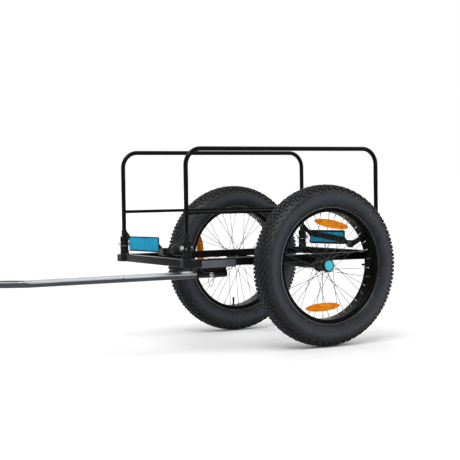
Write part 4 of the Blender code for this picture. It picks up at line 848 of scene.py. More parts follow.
def makeAxles():
    a = axleFacts
    shaft, rim, button, dome = a["shaft"], a["head"], a["button"], a["dome"]
    back = hubFacts["outerEnd"] + a["gap"]
    front = back + a["thick"]
    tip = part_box("wheel_right_axle")[0].y - wheelY
    floor = front - a["skirt"] - a["travel"] - 0.0006
    head = turnedPiece([(tip, shaft - 0.002), (tip + 0.002, shaft), (back, shaft), (back, rim - 0.0012),
                        (back + 0.0012, rim), (front - 0.0012, rim), (front - 0.0003, rim - 0.0006),
                        (front, rim - 0.0014), (front, a["well"] + 0.0010), (front - 0.0006, a["well"]),
                        (floor, a["well"])], a["steps"], solid=True)
    fluteFaces(head, lambda centre, normal: hypot(centre.x, centre.z) > rim - 0.0002 and abs(normal.y) < 0.2
               and round(atan2(centre.z, centre.x) / radians(5)) % 3 == 0, 0.0002, -0.0006)
    fitToWheels(head, "axle_head", "nylon", "axle", body="frame")
    cap = turnedPiece([(front - a["skirt"], button), (front - 0.0003, button),
                       (front + 0.0004, button - 0.0007), (front + 0.6 * dome, 0.80 * button),
                       (front + 0.90 * dome, 0.50 * button), (front + dome, 0.20 * button)], a["steps"],
                      solid=True)
    fitToWheels(cap, "release_cap", "teal", "release_button", body="release_button_{}")
    for place, name in ((hubFacts["innerEnd"] + a["bearing"], "bearing_inner"),
                        (hubFacts["outerEnd"] - a["bearing"], "bearing_outer")):
        ring = turnedPiece([(place + b, r) for b, r in [*mirrored(a["race"]), *a["race"]]], 40)
        fitToWheels(ring, f"{name}_ring", "zinc", name)


makeAxles()

reflectorFacts = {"length": 0.148, "height": 0.030, "thick": 0.0040, "circle": 0.150, "sides": 64,
                  "clipX": 0.030, "clip": (0.012, 0.0044, 0.010),
                  # Each reflector's place on the wheel from the valve, and its lean about its own centre
                  "places": {"upper": (radians(83.5), radians(3)), "lower": (radians(263.5), radians(-10))}}


def makeReflectors():
    r = reflectorFacts
    low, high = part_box("wheel_right_reflector_upper")
    back, front = low.y - wheelY, high.y - wheelY
    plate = roundBar((0, (back + front) / 2, 0), 1, 1, "Y", r["sides"],
                     (r["length"] / 2, r["height"] / 2, r["thick"]))
    dishFaces(plate, lambda centre, normal: normal.y > 0.9, (0.0022, (0, -0.0008, 0)),
              (0.0010, (0, 0.0006, 0)))
    softenEdges(plate, 0.0005, 2, 30)
    clips = [blockPiece((x, back - r["clip"][1] / 2, 0), r["clip"]) for x in (-r["clipX"], r["clipX"])]
    clip = joinPieces([softenEdges(piece, 0.0008) for piece in clips])
    for name, (angle, lean) in r["places"].items():
        for side, sign in sideSign.items():
            turn = Matrix.Rotation(pi / 2 - valveAngle[side] - angle, 4, "Y")
            for source, label in ((plate, "reflector"), (clip, "reflector_clips")):
                piece = copyOf(source)
                piece.data.transform(turn @ Matrix.Translation((0, 0, r["circle"]))
                                     @ Matrix.Rotation(lean, 4, "Y"))
                nodes = [f"wheel_{side}_reflector_{name}"] if source is plate else []
                fit(piece, f"{side}_{label}_{name}", "amber", f"wheel_{side}", *nodes,
                    move=(axleX, sign * wheelY, axleZ), flipY=side == "left")
                discard(piece)
    discard(plate, clip)


makeReflectors()
print("axles and reflectors made")


# Frame: square tubes, corner nodes with ribbed sockets, axle beam and bushes

tubeFacts = {"tube": (0.0045, 4), "beam": (0.0020, 3)}


def makeTubes():
    for node in ("side_tube_left", "side_tube_right", "cross_tube_front", "cross_tube_rear", "axle_beam"):
        low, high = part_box(node)
        corner = tubeFacts["beam" if node == "axle_beam" else "tube"]
        bar = softenEdges(blockPiece((low + high) / 2, high - low), *corner)
        dress(bar, f"{node}_bar", "coat", "frame", node)


nodeFacts = {"width": 0.0320, "nose": 0.0234, "tail": 0.0450, "armReach": 0.0280, "armWidth": 0.0300,
             "edge": (0.0026, 3), "collarEdge": (0.0028, 3), "dish": (0.0028, 0.0014), "socket": 0.0155,
             "rib": 0.0013, "height": 0.0670, "collar": 0.0060, "bore": 0.0083, "floor": 0.0050, "steps": 40,
             # Where each ring groove starts above the node, and a groove's corners as (height, depth)
             "grooves": (0.0150, 0.0300, 0.0450),
             "groove": ((0, 0), (0.0006, 0.0004), (0.0022, 0.0004), (0.0028, 0))}


def makeNodeBody():
    # The front left node about its post, at the middle of the tubes
    n = nodeFacts
    body = blockPiece(((n["tail"] - n["nose"]) / 2, 0, 0), (n["tail"] + n["nose"], n["width"], tubeSide))
    hollowFaces(body, lambda centre, normal: normal.x < -0.9, n["dish"][0], (n["dish"][1], 0, 0))
    softenEdges(body, *n["edge"])
    arm = blockPiece((0, n["armReach"] / 2, 0), (n["armWidth"], n["armReach"], tubeSide - 0.0006))
    softenEdges(arm, *n["edge"])
    collars = [blockPiece((n["tail"] - 0.0030, 0, 0), (0.0050, n["width"] + 0.0014, tubeSide + 0.0014)),
               blockPiece((0, n["armReach"] - 0.0028, 0),
                          (n["armWidth"] + 0.0012, 0.0045, tubeSide + 0.0010))]
    return uniteWith(body, arm, *[softenEdges(collar, *n["collarEdge"]) for collar in collars])


def makeSocket():
    n, base = nodeFacts, tubeSide / 2
    root, crest, top = n["socket"] - n["rib"], n["socket"], base + n["height"]
    collar, bore, floor = top - n["collar"], n["bore"], base + n["floor"]
    outline = [(base - 0.0010, crest + 0.0011), (base + 0.0016, crest + 0.0011), (base + 0.0026, crest),
               (base + 0.0034, crest), (base + 0.0040, root)]
    outline += [(base + start + a, root - d) for start in n["grooves"] for a, d in n["groove"]]
    outline += [(collar - 0.0006, root), (collar, crest), (top - 0.0010, crest), (top, crest - 0.0010),
                (top, bore + 0.0012), (top - 0.0012, bore), (floor, bore), (floor, 0.0), (base - 0.0010, 0.0)]
    socket = turnedPiece(outline, n["steps"], "Z")
    starts = [0.0040, *[start + n["groove"][-1][0] for start in n["grooves"]]]
    bands = list(zip(starts, [*n["grooves"], collar - 0.0006 - base]))

    def onBand(centre, normal):
        step = round(atan2(centre.y, centre.x) / (2 * pi / n["steps"]) - 0.5)
        return (any(low < centre.z - base < high for low, high in bands) and abs(normal.z) < 0.1
                and hypot(centre.x, centre.y) > bore + 0.003 and step % 2 == 0)

    fluteFaces(socket, onBand, 0.00028, n["rib"] - 0.0001)
    return smoothByAngle(socket, 30)


def screwHead(centre, radius, height=0.0018):
    # A button head with a hexagon socket
    head = turnedPiece([(0, radius), (0.35 * height, radius), (0.85 * height, 0.72 * radius),
                        (height, 0.50 * radius)], 24, "Z", solid=True)
    cutWith(head, roundBar((0, 0, height), 0.42 * radius, 1.2 * height, "Z", 6))
    head.data.transform(Matrix.Translation(centre))
    return smoothByAngle(head)


def makeNodes():
    n, base = nodeFacts, tubeSide / 2
    body, socket = makeNodeBody(), makeSocket()
    screws = [screwHead((n["tail"] - 0.0110, 0, base), 0.0034), screwHead((0, 0.0215, base), 0.0030),
              screwHead((-n["nose"] + 0.0060, 0, base - 0.0006), 0.0030, 0.0010)]
    rivet = softenEdges(roundBar((0, -n["socket"], 0.0505), 0.0017, 0.0016, "Y", 16), 0.0005)
    rivet.data.transform(Matrix.Rotation(radians(-40), 4, "Z"))
    metal = joinPieces([*screws, rivet])
    for end, side in corners:
        placing = {"move": (postX[end], sideSign[side] * postY, tubeZ), "flipX": end == "rear",
                   "flipY": side == "right"}
        fit(body, f"node_body_{end}_{side}", "nylon", "frame", f"corner_node_{end}_{side}", **placing)
        fit(socket, f"node_socket_{end}_{side}", "nylon", "frame", **placing)
        fit(metal, f"node_screws_{end}_{side}", "zinc", "frame", **placing)
    discard(body, socket, metal)


bushFacts = {"spigot": 0.030, "bore": 0.0063, "spigotRadius": 0.0085, "radius": 0.0170, "waist": 0.8,
             "step": 0.40, "soft": 0.0006}


def makeBushes():
    b, soft = bushFacts, bushFacts["soft"]
    start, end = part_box("axle_beam")[1].y + gap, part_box("axle_bush_right")[1].y
    step, radius, waist = start + b["step"] * (end - start), b["radius"], b["waist"] * b["radius"]
    bush = turnedPiece([(start - b["spigot"], b["bore"]), (start - b["spigot"], b["spigotRadius"]),
                        (start, b["spigotRadius"]), (start, radius - soft), (start + soft, radius),
                        (step - 0.0012, radius), (step, radius - 0.0020), (step + 0.0012, waist),
                        (end - soft, waist), (end, waist - soft), (end, b["bore"])], 48)
    for side in sideSign:
        fit(bush, f"axle_bush_{side}_sleeve", "oxide", "frame", f"axle_bush_{side}", move=(axleX, 0, axleZ),
            flipY=side == "left")
    discard(bush)


makeTubes()
makeNodes()
makeBushes()
print("frame made")

hoopFacts = {"rise": 0.3963, "railRise": 0.1737, "radius": 0.0080, "railRadius": 0.0058, "bend": 0.058,
             "foot": 0.0188, "weld": 0.0016, "weldPlace": 0.72, "ripple": 0.0002, "ripples": 14}


def makeHoops():
    h = hoopFacts
    radius, railZ = h["radius"], tubeZ + h["railRise"]
    foot, top, front, rear = tubeZ + h["foot"], tubeZ + h["rise"], postX["front"], postX["rear"]
    points = [(front, 0, foot), (front, 0, top), (rear, 0, top), (rear, 0, foot)]
    hoop = bentTube([roundedLine(points, h["bend"], 20)], radius, 6)
    rail = bentTube([[(front + 0.002, 0, railZ), (rear - 0.002, 0, railZ)]], h["railRadius"], 6)
    beads = []
    for x, turn in ((front + radius * h["weldPlace"], 1), (rear - radius * h["weldPlace"], -1)):
        selectOnly()
        bpy.ops.mesh.primitive_torus_add(location=(x, 0, railZ), rotation=(0, pi / 2, 0), major_segments=48,
                                         minor_segments=10, major_radius=h["railRadius"] + 0.0002,
                                         minor_radius=h["weld"])
        bead = bakeTransform(bpy.context.object)
        for vertex in bead.data.vertices:   # the bead wraps round the leg and ripples a little
            side = vertex.co.y
            vertex.co.x -= turn * 0.5 * side * side / radius
            vertex.co.x += h["ripple"] * sin(h["ripples"] * atan2(side, vertex.co.z - railZ))
        beads.append(smoothByAngle(bead, 60))
    whole = smoothByAngle(uniteWith(hoop, rail, *beads), 45)
    for side, sign in sideSign.items():
        fit(whole, f"hoop_{side}_tube", "coat", "frame", f"hoop_{side}", move=(0, sign * postY, 0))
    discard(whole)


makeHoops()
print("hoops made")


# Lock pins and their wire bails, made along +X about the middle of what they lock

def makePin(halfSpan):
    p = pinFacts
    head, shaft, soft = p["headRadius"], p["radius"], 0.0006
    back, tip = -halfSpan - gap, halfSpan + p["tip"]
    front = back - p["headLength"]
    pin = turnedPiece([(front, head - 0.0016), (front + 0.0012, head), (front + 0.0026, head),
                       (front + 0.0030, head - soft), (back - 0.0030, head - soft), (back - 0.0026, head),
                       (back - soft, head), (back, head - soft), (back, shaft), (tip - 0.0040, shaft),
                       (tip - 0.0034, shaft - 0.0005), (tip - 0.0026, shaft - 0.0005), (tip - 0.0020, shaft),
                       (tip - 0.0008, shaft - soft), (tip, shaft - 0.0018)], 32, "X", solid=True)
    cutWith(pin, roundBar(((front + back) / 2, 0, 0), p["wire"] + 0.0002, 3 * head, "Z", 12))
    return smoothByAngle(pin)


def makeBail(halfSpan, depth, steps=24):
    p = pinFacts
    pivot = -halfSpan - gap - p["headLength"] / 2
    end = halfSpan + p["tip"] + gap + p["wire"]
    centre, reach = (pivot + end) / 2, (end - pivot) / 2
    plane = -(p["headRadius"] + p["wire"] + gap)
    angles = [pi * (1 - step / steps) for step in range(steps + 1)]
    bow = [(centre + reach * cos(angle), depth * sin(angle), plane) for angle in angles]
    points = [(pivot, 0, p["headRadius"] / 2), *bow, (end, 0, p["radius"])]
    return bentTube([roundedLine(points, p["wireCorner"], 6, 60)], p["wire"], 4)


def makePins():
    pair = makePin(pinFacts["socket"]), makeBail(pinFacts["socket"], pinFacts["hoopDepth"])
    places = {f"{end}_{side}": {"move": (postX[end], sideSign[side] * postY, tubeZ + pinFacts["rise"]),
                                "flipX": side == "right", "flipY": side == "right"} for end, side in corners}
    longPair = makePin(pinFacts["receiver"]), makeBail(pinFacts["receiver"], pinFacts["drawbarDepth"])
    for piece in longPair:
        piece.data.transform(Matrix.Rotation(pi / 2, 4, "Z") @ Matrix.Rotation(-pi / 2, 4, "X"))
    for name, placing in [*places.items(), ("drawbar", {"move": (pinX, barY, barZ)})]:
        pin, bail = longPair if name == "drawbar" else pair
        fit(pin, f"pin_{name}", "zinc", "frame", f"lock_pin_{name}", **placing)
        fit(bail, f"bail_wire_{name}", "spring", f"bail_{name}", f"bail_{name}", **placing)
    discard(*pair, *longPair)


makePins()
print("pins and bails made")


# Drawbar, saddle and receiver

barFacts = {"radius": 0.0130, "wall": 0.0020, "bendAngle": radians(32), "bendRadius": 0.090, "shift": 0.120,
            "rear": -0.3430, "bend": -1.0900, "neck": 0.075, "deep": 0.030, "hole": 0.0033,
            "shortHole": -0.7480, "pin": -0.4110}


def makeDrawbar():
    b = barFacts
    rear, bend, far = axleX + b["rear"], axleX + b["bend"], barY + b["shift"]
    run = b["shift"] / tan(b["bendAngle"])
    front = bend - run - b["neck"]
    points = [(rear, barY, barZ), (bend, barY, barZ), (bend - run, far, barZ), (front, far, barZ)]
    tube = bentTube([roundedLine(points, b["bendRadius"], 12)], b["radius"], 8)
    for facing, end in ((1, rear), (-1, front)):
        hollowFaces(tube, lambda centre, normal: normal.x * facing > 0.95 and abs(centre.x - end) < 0.001,
                    b["wall"], (-b["deep"] * facing, 0, 0))
    cutWith(tube, *[roundBar((axleX + b[key], barY, barZ), b["hole"], 4 * b["radius"], "Y", 20)
                    for key in ("pin", "shortHole")])
    dress(smoothByAngle(tube, 45), "drawbar_bar", "drawbar", "frame", "drawbar_tube")


saddleFacts = {"plate": 0.0035, "edge": 0.0008, "screwIn": 0.020, "screwOut": 0.0058, "screw": 0.0034}


def makeSaddle():
    s = saddleFacts
    low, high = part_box("drawbar_saddle")
    inner = tubeSide / 2 + gap
    outer, top, ledge = inner + s["plate"], high.z - tubeZ, high.y + postY
    outline = [(-outer, -outer), (ledge, -outer), (ledge, -inner), (outer, -inner), (outer, top),
               (inner, top), (inner, -inner), (-inner, -inner), (-inner, top), (-outer, top)]
    saddle = extrudedPiece([(-postY + a, tubeZ + b) for a, b in outline], low.x, high.x, "X")
    dress(softenEdges(saddle, s["edge"]), "saddle_channel", "saddle", "frame", "drawbar_saddle")
    screws = [screwHead((x, ledge - postY - s["screwOut"], low.z + s["plate"]), s["screw"])
              for x in (low.x + s["screwIn"], high.x - s["screwIn"])]
    dress(joinPieces(screws), "saddle_screws", "zinc", "frame")


receiverFacts = {"skirt": 0.0065, "halfTop": 0.0100, "ring": 0.0060, "rib": (0.0030, 0.0090, 0.0110),
                 "ribSink": 0.0060, "edge": 0.0005}


def makeReceiver():
    r = receiverFacts
    low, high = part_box("drawbar_receiver")
    outer, bore, skirt = pinFacts["receiver"], barFacts["radius"] + gap, r["skirt"]
    half, topZ, start = r["halfTop"], high.z - barZ, low.x + 0.0003
    lean = acos(half / outer)
    right = [(outer, -skirt), *[(outer * cos(lean * s / 6), outer * sin(lean * s / 6)) for s in range(7)],
             (half, topZ)]
    inside = [(-bore * cos(pi * s / 24), bore * sin(pi * s / 24)) for s in range(25)]
    outline = [*right, *mirrored(right), (-bore, -skirt), *inside, (bore, -skirt)]
    arch = extrudedPiece([(barY + y, barZ + z) for y, z in outline], low.x, high.x, "X")
    ring = turnedPiece([(start, bore), (start, outer - 0.0006), (low.x + 0.0010, outer),
                        (low.x + r["ring"] - 0.0006, outer), (low.x + r["ring"], outer - 0.0006),
                        (low.x + r["ring"], bore)], 48, "X")
    ring.data.transform(Matrix.Translation((0, barY, barZ)))
    length, spread, rise = r["rib"]
    ribs = [blockPiece((x, barY, barZ + topZ - r["ribSink"]), (length, 2 * half + spread, rise))
            for x in (low.x + 0.030, high.x - 0.030, high.x - 0.004)]
    uniteWith(arch, ring, *ribs)
    cutWith(arch, roundBar((axleX + barFacts["pin"], barY, barZ), barFacts["hole"], 5 * outer, "Y", 20))
    dress(softenEdges(arch, r["edge"], 1, 50), "receiver_arch", "nylon", "frame", "drawbar_receiver")


makeDrawbar()
makeSaddle()
makeReceiver()
print("drawbar made")


# Hitch: clevis on the drawbar, cross, and the fork with its plate

hitchFacts = {"pivot": 0.025, "plug": 0.020, "plugRadius": 0.0104, "shoulder": 0.006,
              "shoulderRadius": 0.0130, "jaw": 0.005, "jawWidth": 0.013, "crossWidth": 0.018,
              "crossHeight": 0.014, "crossLength": 0.014, "pin": 0.0036, "pinProud": 0.0010,
              "cheek": 0.004, "cheekHeight": 0.012, "reach": 0.022, "bridge": 0.005,
              "plateWidth": 0.028, "plateThick": 0.005, "hole": 0.0053, "drill": 0.08}


def arcAbout(x, radius, first, last, steps):
    # Points from the first to the last angle about (x, 0)
    angles = [first + (last - first) * step / steps for step in range(steps + 1)]
    return [(x + radius * cos(angle), radius * sin(angle)) for angle in angles]


def roundEnded(start, end, width):
    # An outline along -X with a round end
    half = width / 2
    return [(start, -half), (start, half), *arcAbout(end, half, pi / 2, 3 * pi / 2, 12)]


def makeHitch():
    h = hitchFacts
    wide, pivot, shoulder = h["shoulderRadius"], h["pivot"], h["pivot"] - h["shoulder"]
    stem = turnedPiece([(pivot + h["plug"], h["plugRadius"]), (pivot - gap, h["plugRadius"]),
                        (pivot - gap, wide - 0.0002), (pivot - 0.0008, wide), (shoulder + 0.0010, wide),
                        (shoulder, wide - 0.0010)], 48, "X", solid=True)
    inner = h["crossHeight"] / 2 + gap
    jaws = [extrudedPiece(roundEnded(pivot - h["shoulder"] / 2, 0, h["jawWidth"]), sign * inner,
                          sign * (inner + h["jaw"]), "Z") for sign in (1, -1)]
    uniteWith(stem, *[softenEdges(jaw, 0.0008) for jaw in jaws])
    cutWith(stem, roundBar((0, 0, 0), h["pin"] + gap, h["drill"], "Z", 32))

    block = blockPiece((0, 0, 0), (h["crossLength"], h["crossWidth"], h["crossHeight"]))
    softenEdges(block, 0.0016, 3)
    for width, wall, axis in ((h["crossHeight"], h["jaw"], "Z"), (h["crossWidth"], h["cheek"], "Y")):
        pin = roundBar((0, 0, 0), h["pin"], width + 2 * (gap + wall + h["pinProud"]), axis, 32)
        uniteWith(block, softenEdges(pin, 0.0005))

    innerY, half, back = h["crossWidth"] / 2 + gap, h["cheekHeight"] / 2, -h["reach"] - h["bridge"] / 2
    outerY = innerY + h["cheek"]
    fork = blockPiece((back, 0, 0), (h["bridge"], 2 * outerY, h["cheekHeight"]))
    outline = [(back, -half), *arcAbout(0, half, -pi / 2, pi / 2, 12), (back, half)]
    cheeks = [extrudedPiece(outline, sign * innerY, sign * outerY, "Y") for sign in (1, -1)]
    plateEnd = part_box("hitch_fork")[0].x - hitchX + h["plateWidth"] / 2
    plateHalf = h["plateThick"] / 2
    plate = extrudedPiece(roundEnded(back, plateEnd, h["plateWidth"]), -plateHalf, plateHalf, "Y")
    uniteWith(fork, *cheeks, plate)
    cutWith(fork, roundBar((0, 0, 0), h["pin"] + gap, h["drill"], "Y", 32),
            roundBar((plateEnd, 0, 0), h["hole"], h["drill"], "Y", 32))
    softenEdges(fork, 0.0007, 2, 50)

    for piece, name, finish, body, node in (
            (smoothByAngle(stem), "hitch_clevis_forging", "oxide", "frame", "hitch_clevis"),
            (smoothByAngle(block), "hitch_cross_block", "zinc", "hitch_cross", "hitch_cross"),
            (fork, "hitch_fork_plate", "oxide", "hitch_fork", "hitch_fork")):
        fit(piece, name, finish, body, node, move=(hitchX, hitchY, barZ))
        discard(piece)


makeHitch()
print("hitch made")


# Cargo belts: made for the front of the bed with the belt's plane at X = 0, then mirrored for the rear

beltFacts = {"width": 0.0230, "thick": 0.0016, "buckleDrop": 0.0583, "innerDrop": 0.0443, "outerDrop": 0.0223,
             "padInner": -0.045, "padOuter": 0.200, "padHeight": 0.055, "padInnerDrop": 0.0343,
             "padOuterDrop": 0.0378, "padEdge": 0.0022, "padCrown": 0.0040, "bindingWidth": 0.0085,
             "buckleY": -0.085, "buckleLength": 0.030, "buckleWall": 0.0025, "buckleDepth": 0.0110,
             "pivotDepth": 0.0062, "pinRadius": 0.0018, "cam": 0.0048, "tooth": 0.0003, "lever": 0.026,
             "plate": 0.0022, "leg": 0.0083, "socketClear": 0.0171}


def strapKnots():
    b = beltFacts
    loop, past = postY - b["leg"] - b["thick"] / 2, postY - b["socketClear"]
    near, far = b["buckleY"] - b["buckleLength"] / 2, b["buckleY"] + b["buckleLength"] / 2
    return [(-loop, 0.0), (-past, 0.0), (near, b["buckleDrop"]), (far, b["buckleDrop"]),
            (b["padInner"], b["innerDrop"]), (b["padOuter"], b["outerDrop"]), (past, 0.0), (loop, 0.0)]


def makeStrap():
    b = beltFacts
    half = b["width"] / 2
    knots, line = strapKnots(), []
    for (y0, d0), (y1, d1) in zip(knots, knots[1:]):
        line += [(y0 + (y1 - y0) * s / 4, d0 + (d1 - d0) * s / 4) for s in range(4)]
    line.append(knots[-1])
    outline = [(y, half - drop) for y, drop in line] + [(y, -half - drop) for y, drop in reversed(line)]
    strap = extrudedPiece(outline, -b["thick"] / 2, b["thick"] / 2, "X")
    inner, outer = b["leg"], b["leg"] + b["thick"]
    for sign in (-1, 1):
        ring = turnedPiece([(-half, inner), (-half, outer), (half, outer), (half, inner)], 40, "Z")
        ring.data.transform(Matrix.Translation((0, sign * postY, 0)))
        uniteWith(strap, ring)
    return softenEdges(strap, 0.0004, 1, 50)


def stitchAt(middlePoint, heading, length, depth=0.0003):
    # One stitch: down into the cloth, over it, and down again
    half = Vector(heading) * length / 2
    return [middlePoint - half, middlePoint + Vector((-depth, 0, 0)), middlePoint + half]


seamFacts = {"edge": 0.0085, "start": 0.003, "pitch": 0.0032, "length": 0.0021, "thread": 0.00035,
             "crossStart": 0.004, "crossEdge": 0.0070, "crossPitch": 0.0023}


def makeStitching():
    # Box and cross seams where the strap closes on itself beside each loop
    s, rows = seamFacts, []
    knots = strapKnots()
    for first, second in ((knots[1], knots[2]), (knots[6], knots[5])):
        sign = 1 if second[0] > first[0] else -1
        slope = (second[1] - first[1]) / abs(second[0] - first[0])

        def addStitch(along, up, heading):
            spot = Vector((-beltFacts["thick"] / 2, first[0] + sign * along, up - first[1] - slope * along))
            rows.append(stitchAt(spot, heading, s["length"]))

        for up in (-s["edge"], s["edge"]):
            for step in range(8):
                addStitch(s["start"] + step * s["pitch"], up, (0, sign, -slope))
        for step in range(7):
            across = -s["crossEdge"] + step * s["crossPitch"]
            for flip in (1, -1):
                addStitch(s["crossStart"] + step * s["pitch"], flip * across, (0, sign * 0.8, flip * 0.6))
    return bentTube(rows, s["thread"], 1)


def padOutline(inset, steps=6, corner=0.006):
    # The pad's outline in its own plane, with rounded corners
    b = beltFacts
    up = b["padHeight"] / 2 - inset
    inner, outer = (b["padInner"] + inset, b["padInnerDrop"]), (b["padOuter"] - inset, b["padOuterDrop"])
    loop = [(0, y, sign * up - drop)
            for (y, drop), sign in ((inner, -1), (outer, -1), (outer, 1), (inner, 1))]
    line = []
    for index in range(4):
        around = [loop[index - 1], loop[index], loop[(index + 1) % 4]]
        arc = roundedLine(around, max(corner - inset, 0.0015), steps)
        line += [(point.y, point.z) for point in arc[1:-1]]
    return line


padFacts = {"inset": 0.0030, "voxel": 0.0022, "hold": 0.0008, "channels": 5, "frames": 20, "slack": 0.35,
            "crown": 0.62, "tape": 0.0032, "tapeThick": 0.0031, "stitchIn": 0.0014, "stitch": 0.0022,
            "pitch": 0.0036, "thread": 0.00032,
            "cloth": {"quality": 6, "mass": 0.2, "tension_stiffness": 30, "compression_stiffness": 30,
                      "bending_stiffness": 0.4, "use_pressure": True, "uniform_pressure_force": 4,
                      "vertex_group_mass": "held"}}


def makeCushion(back):
    # The stuffed sleeve starts a little slack and is filled by cloth pressure
    b, p = beltFacts, padFacts
    shell = extrudedPiece(padOutline(p["inset"]), back - b["padEdge"] - 0.0004, back - 0.0001, "X")
    applyModifier(shell, "REMESH", mode="VOXEL", voxel_size=p["voxel"])
    rest = [vertex.co.copy() for vertex in shell.data.vertices]
    held = shell.vertex_groups.new(name="held")
    held.add([i for i, place in enumerate(rest) if place.x > back - p["hold"]], 1, "REPLACE")
    bpy.context.view_layer.objects.active = shell
    cloth = shell.modifiers.new("fill", "CLOTH")
    for key, value in p["cloth"].items():
        setattr(cloth.settings, key, value)
    cloth.settings.effector_weights.gravity = 0
    for number in range(1, p["frames"] + 1):
        bpy.context.scene.frame_set(number)
    bpy.ops.object.modifier_apply(modifier=cloth.name)
    cap = b["padCrown"] - 0.0002
    for vertex, place in zip(shell.data.vertices, rest):
        shift = vertex.co - place
        if shift.length > cap:
            shift = shift.normalized() * cap
        fullness = 0.0
        if place.x < back - 0.0012:   # the front face is quilted into channels
            across = (place.y - b["padInner"]) / (b["padOuter"] - b["padInner"])
            drop = b["padInnerDrop"] + (b["padOuterDrop"] - b["padInnerDrop"]) * across
            up = (place.z + drop) / (b["padHeight"] / 2)
            channel = 0.55 + 0.45 * abs(sin(pi * p["channels"] * across)) ** 0.45
            fullness = b["padCrown"] * p["crown"] * max(0.0, 1 - up * up) ** 0.5 * channel
        vertex.co = place + shift * p["slack"] + Vector((-fullness, 0, 0))
    applyModifier(shell, "SUBSURF", levels=1, render_levels=1)
    selectOnly(shell)
    bpy.ops.object.shade_smooth()
    return shell


def makeBinding(back):
    # Folded tape bound round the pad's edge, and its seam
    p, width = padFacts, beltFacts["bindingWidth"]
    tape = drawOutline([(back - p["tape"], y, z) for y, z in padOutline(0.0)])
    bpy.ops.mesh.edge_face_add()
    bpy.ops.mesh.inset(thickness=width)
    bpy.ops.mesh.delete(type="FACE")
    leaveEdit()
    applyModifier(tape, "SOLIDIFY", thickness=p["tapeThick"], offset=0)
    tape.data.transform(Matrix.Translation((p["tape"] / 2, 0, 0)))
    selectOnly(tape)
    bpy.ops.object.mode_set(mode="EDIT")
    finishMesh(0)
    softenEdges(tape, 0.0009, 2, 40)
    points = [Vector((back - p["tape"], y, z)) for y, z in padOutline(width - p["stitchIn"])]
    dashes, walked = [], 0.0
    for start, end in zip(points, points[1:] + points[:1]):
        length = (end - start).length
        while walked < length:
            dashes.append(stitchAt(start.lerp(end, walked / length), (end - start).normalized(), p["stitch"]))
            walked += p["pitch"]
        walked -= length
    return tape, bentTube(dashes, p["thread"], 1)


def makeBuckle():
    b = beltFacts
    wall, half = b["buckleWall"], b["buckleLength"] / 2
    inner, backIn, front = b["width"] / 2 + gap, b["thick"] / 2 + gap, -b["buckleDepth"] + b["buckleWall"]
    outer, backOut = inner + wall, backIn + wall
    outline = [(backOut, -outer), (backOut, outer), (front, outer), (front, inner), (backIn, inner),
               (backIn, -inner), (front, -inner), (front, -outer)]
    channel = extrudedPiece(outline, -half, half, "Y")
    cutWith(channel, roundBar((-b["pivotDepth"], 0, 0), b["pinRadius"] + gap, 0.08, "Z", 24))
    for sign in (-1, 1):   # the cheeks are cut away at a slant towards the strap's free ends
        cutWith(channel, blockPiece((front - 0.001, sign * (half + 0.0010), 0), (0.0095, 0.0095, 0.06),
                                    (0, 0, radians(45))))
    return softenEdges(channel, 0.0005, 2, 40)


def makeLever():
    b = beltFacts
    cam, plate, lever = b["cam"], b["plate"], b["lever"]
    half, outline = b["width"] / 2 - gap, []
    for step in range(48):   # fine teeth on the side that grips the strap
        angle = radians(7.5 * step)
        radius = cam + (b["tooth"] if step % 2 and cos(angle) > -0.2 else 0)
        outline.append((radius * cos(angle), radius * sin(angle)))
    drum = extrudedPiece(outline, -half, half, "Z")
    pin = roundBar((0, 0, 0), b["pinRadius"], 2 * (half + 0.0006 + b["buckleWall"]), "Z", 24)
    face = cam - plate
    outline = [(-cam, 0.0), (-face, 0.0), (-face, 0.75 * lever), (-face - plate, lever),
               (-cam - plate, lever), (-cam, 0.7 * lever)]
    handle = extrudedPiece(outline, -half, half, "Z")
    dishFaces(handle, lambda centre, normal: normal.x < -0.95 and abs(centre.y - 0.35 * lever) < 0.001,
              (0.0030, (0.0006, 0, 0)))   # a shallow thumb dish
    softenEdges(handle, 0.0006)
    return smoothByAngle(uniteWith(drum, handle, pin))


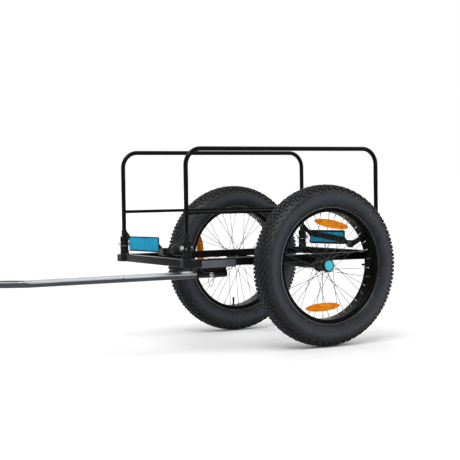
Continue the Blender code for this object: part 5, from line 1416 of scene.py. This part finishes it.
def makeBelts():
    b = beltFacts
    back = -b["thick"] / 2 - gap
    stitching, strap, shell = makeStitching(), makeStrap(), makeCushion(back)
    tape, seam = makeBinding(back)
    buckle, lever = makeBuckle(), makeLever()
    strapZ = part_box("belt_front_strap")[1].z - b["width"] / 2
    for end, sign in (("front", -1), ("rear", 1)):
        place = Vector((postX[end], 0, strapZ))
        seat = Vector((postX[end], b["buckleY"], strapZ - b["buckleDrop"]))
        pivot = seat + Vector((sign * b["pivotDepth"], 0, 0))
        for source, name, finish, move, body, nodes in (
                (strap, "webbing", "webbing", place, "frame", ["strap"]),
                (stitching, "stitching", "stitch", place, "frame", []),
                (shell, "cushion", "padCloth", place, "frame", ["pad"]),
                (tape, "binding", "binding", place, "frame", []),
                (seam, "seam", "stitch", place, "frame", []),
                (buckle, "buckle_frame", "blackZinc", seat, "frame", ["buckle"]),
                (lever, "cam_lever", "blackZinc", pivot, f"belt_{end}_lever", ["lever"])):
            piece = fit(source, f"belt_{end}_{name}", finish, body, *[f"belt_{end}_{node}" for node in nodes],
                        move=move, flipX=end == "rear")
    discard(stitching, strap, shell, tape, seam, buckle, lever)


makeBelts()
print("belts made")


# Floor, background and light

stageFacts = {"floor": 400.0, "floorColour": "#FDFDFD", "sky": 0.60,
              # Each lamp's name, the way it shines, its width in degrees, and its strength; gloss is a
              # small lamp that only glosses edges: it lights no matte surface and casts no shadow
              "lamps": [("key", (0.70, 0.62, -1.3), 42, 1.38), ("fill", (-0.9, 0.5, -0.9), 45, 0.50),
                        ("rim", (-0.2, -0.9, -0.8), 40, 0.40), ("gloss", (0.45, 0.60, -1.0), 12, 2.4)]}


def makeStage():
    s = stageFacts
    selectOnly()
    bpy.ops.mesh.primitive_plane_add(size=s["floor"], location=(0, 0, -0.0005))
    floor = bpy.context.object
    floor.name = "studio_floor"
    floor.data.materials.append(startFinish("studio_floor_paint", 0.9, Base_Color=linear(s["floorColour"])))

    world = bpy.data.worlds.new("studio") if bpy.context.scene.world is None else bpy.context.scene.world
    bpy.context.scene.world = world
    world.use_nodes = True
    work["tree"] = world.node_tree
    work["tree"].nodes.clear()
    path = addNode("LightPath").outputs
    seen = addMath("MAXIMUM", addMath("MAXIMUM", path["Is Camera Ray"], path["Is Glossy Ray"]),
                   path["Is Transmission Ray"])
    lit, white = (addNode("Background", {"Color": (1, 1, 1, 1), "Strength": strength}).outputs[0]
                  for strength in (s["sky"], 1.0))
    addNode("OutputWorld", {"Surface": addNode("MixShader", {0: seen, 1: lit, 2: white}).outputs[0]})

    for name, aim, spread, power in s["lamps"]:
        bpy.ops.object.light_add(type="SUN")
        lamp = bpy.context.object
        lamp.name = f"{name}_lamp"
        lamp.data.angle = radians(spread)
        lamp.data.energy = power
        lamp.rotation_euler = Vector(aim).to_track_quat("-Z", "Y").to_euler()
        lamp.visible_diffuse = name != "gloss"
        lamp.data.use_shadow = name != "gloss"
    bpy.context.scene.view_settings.view_transform = "Standard"


makeStage()
print("stage lit")
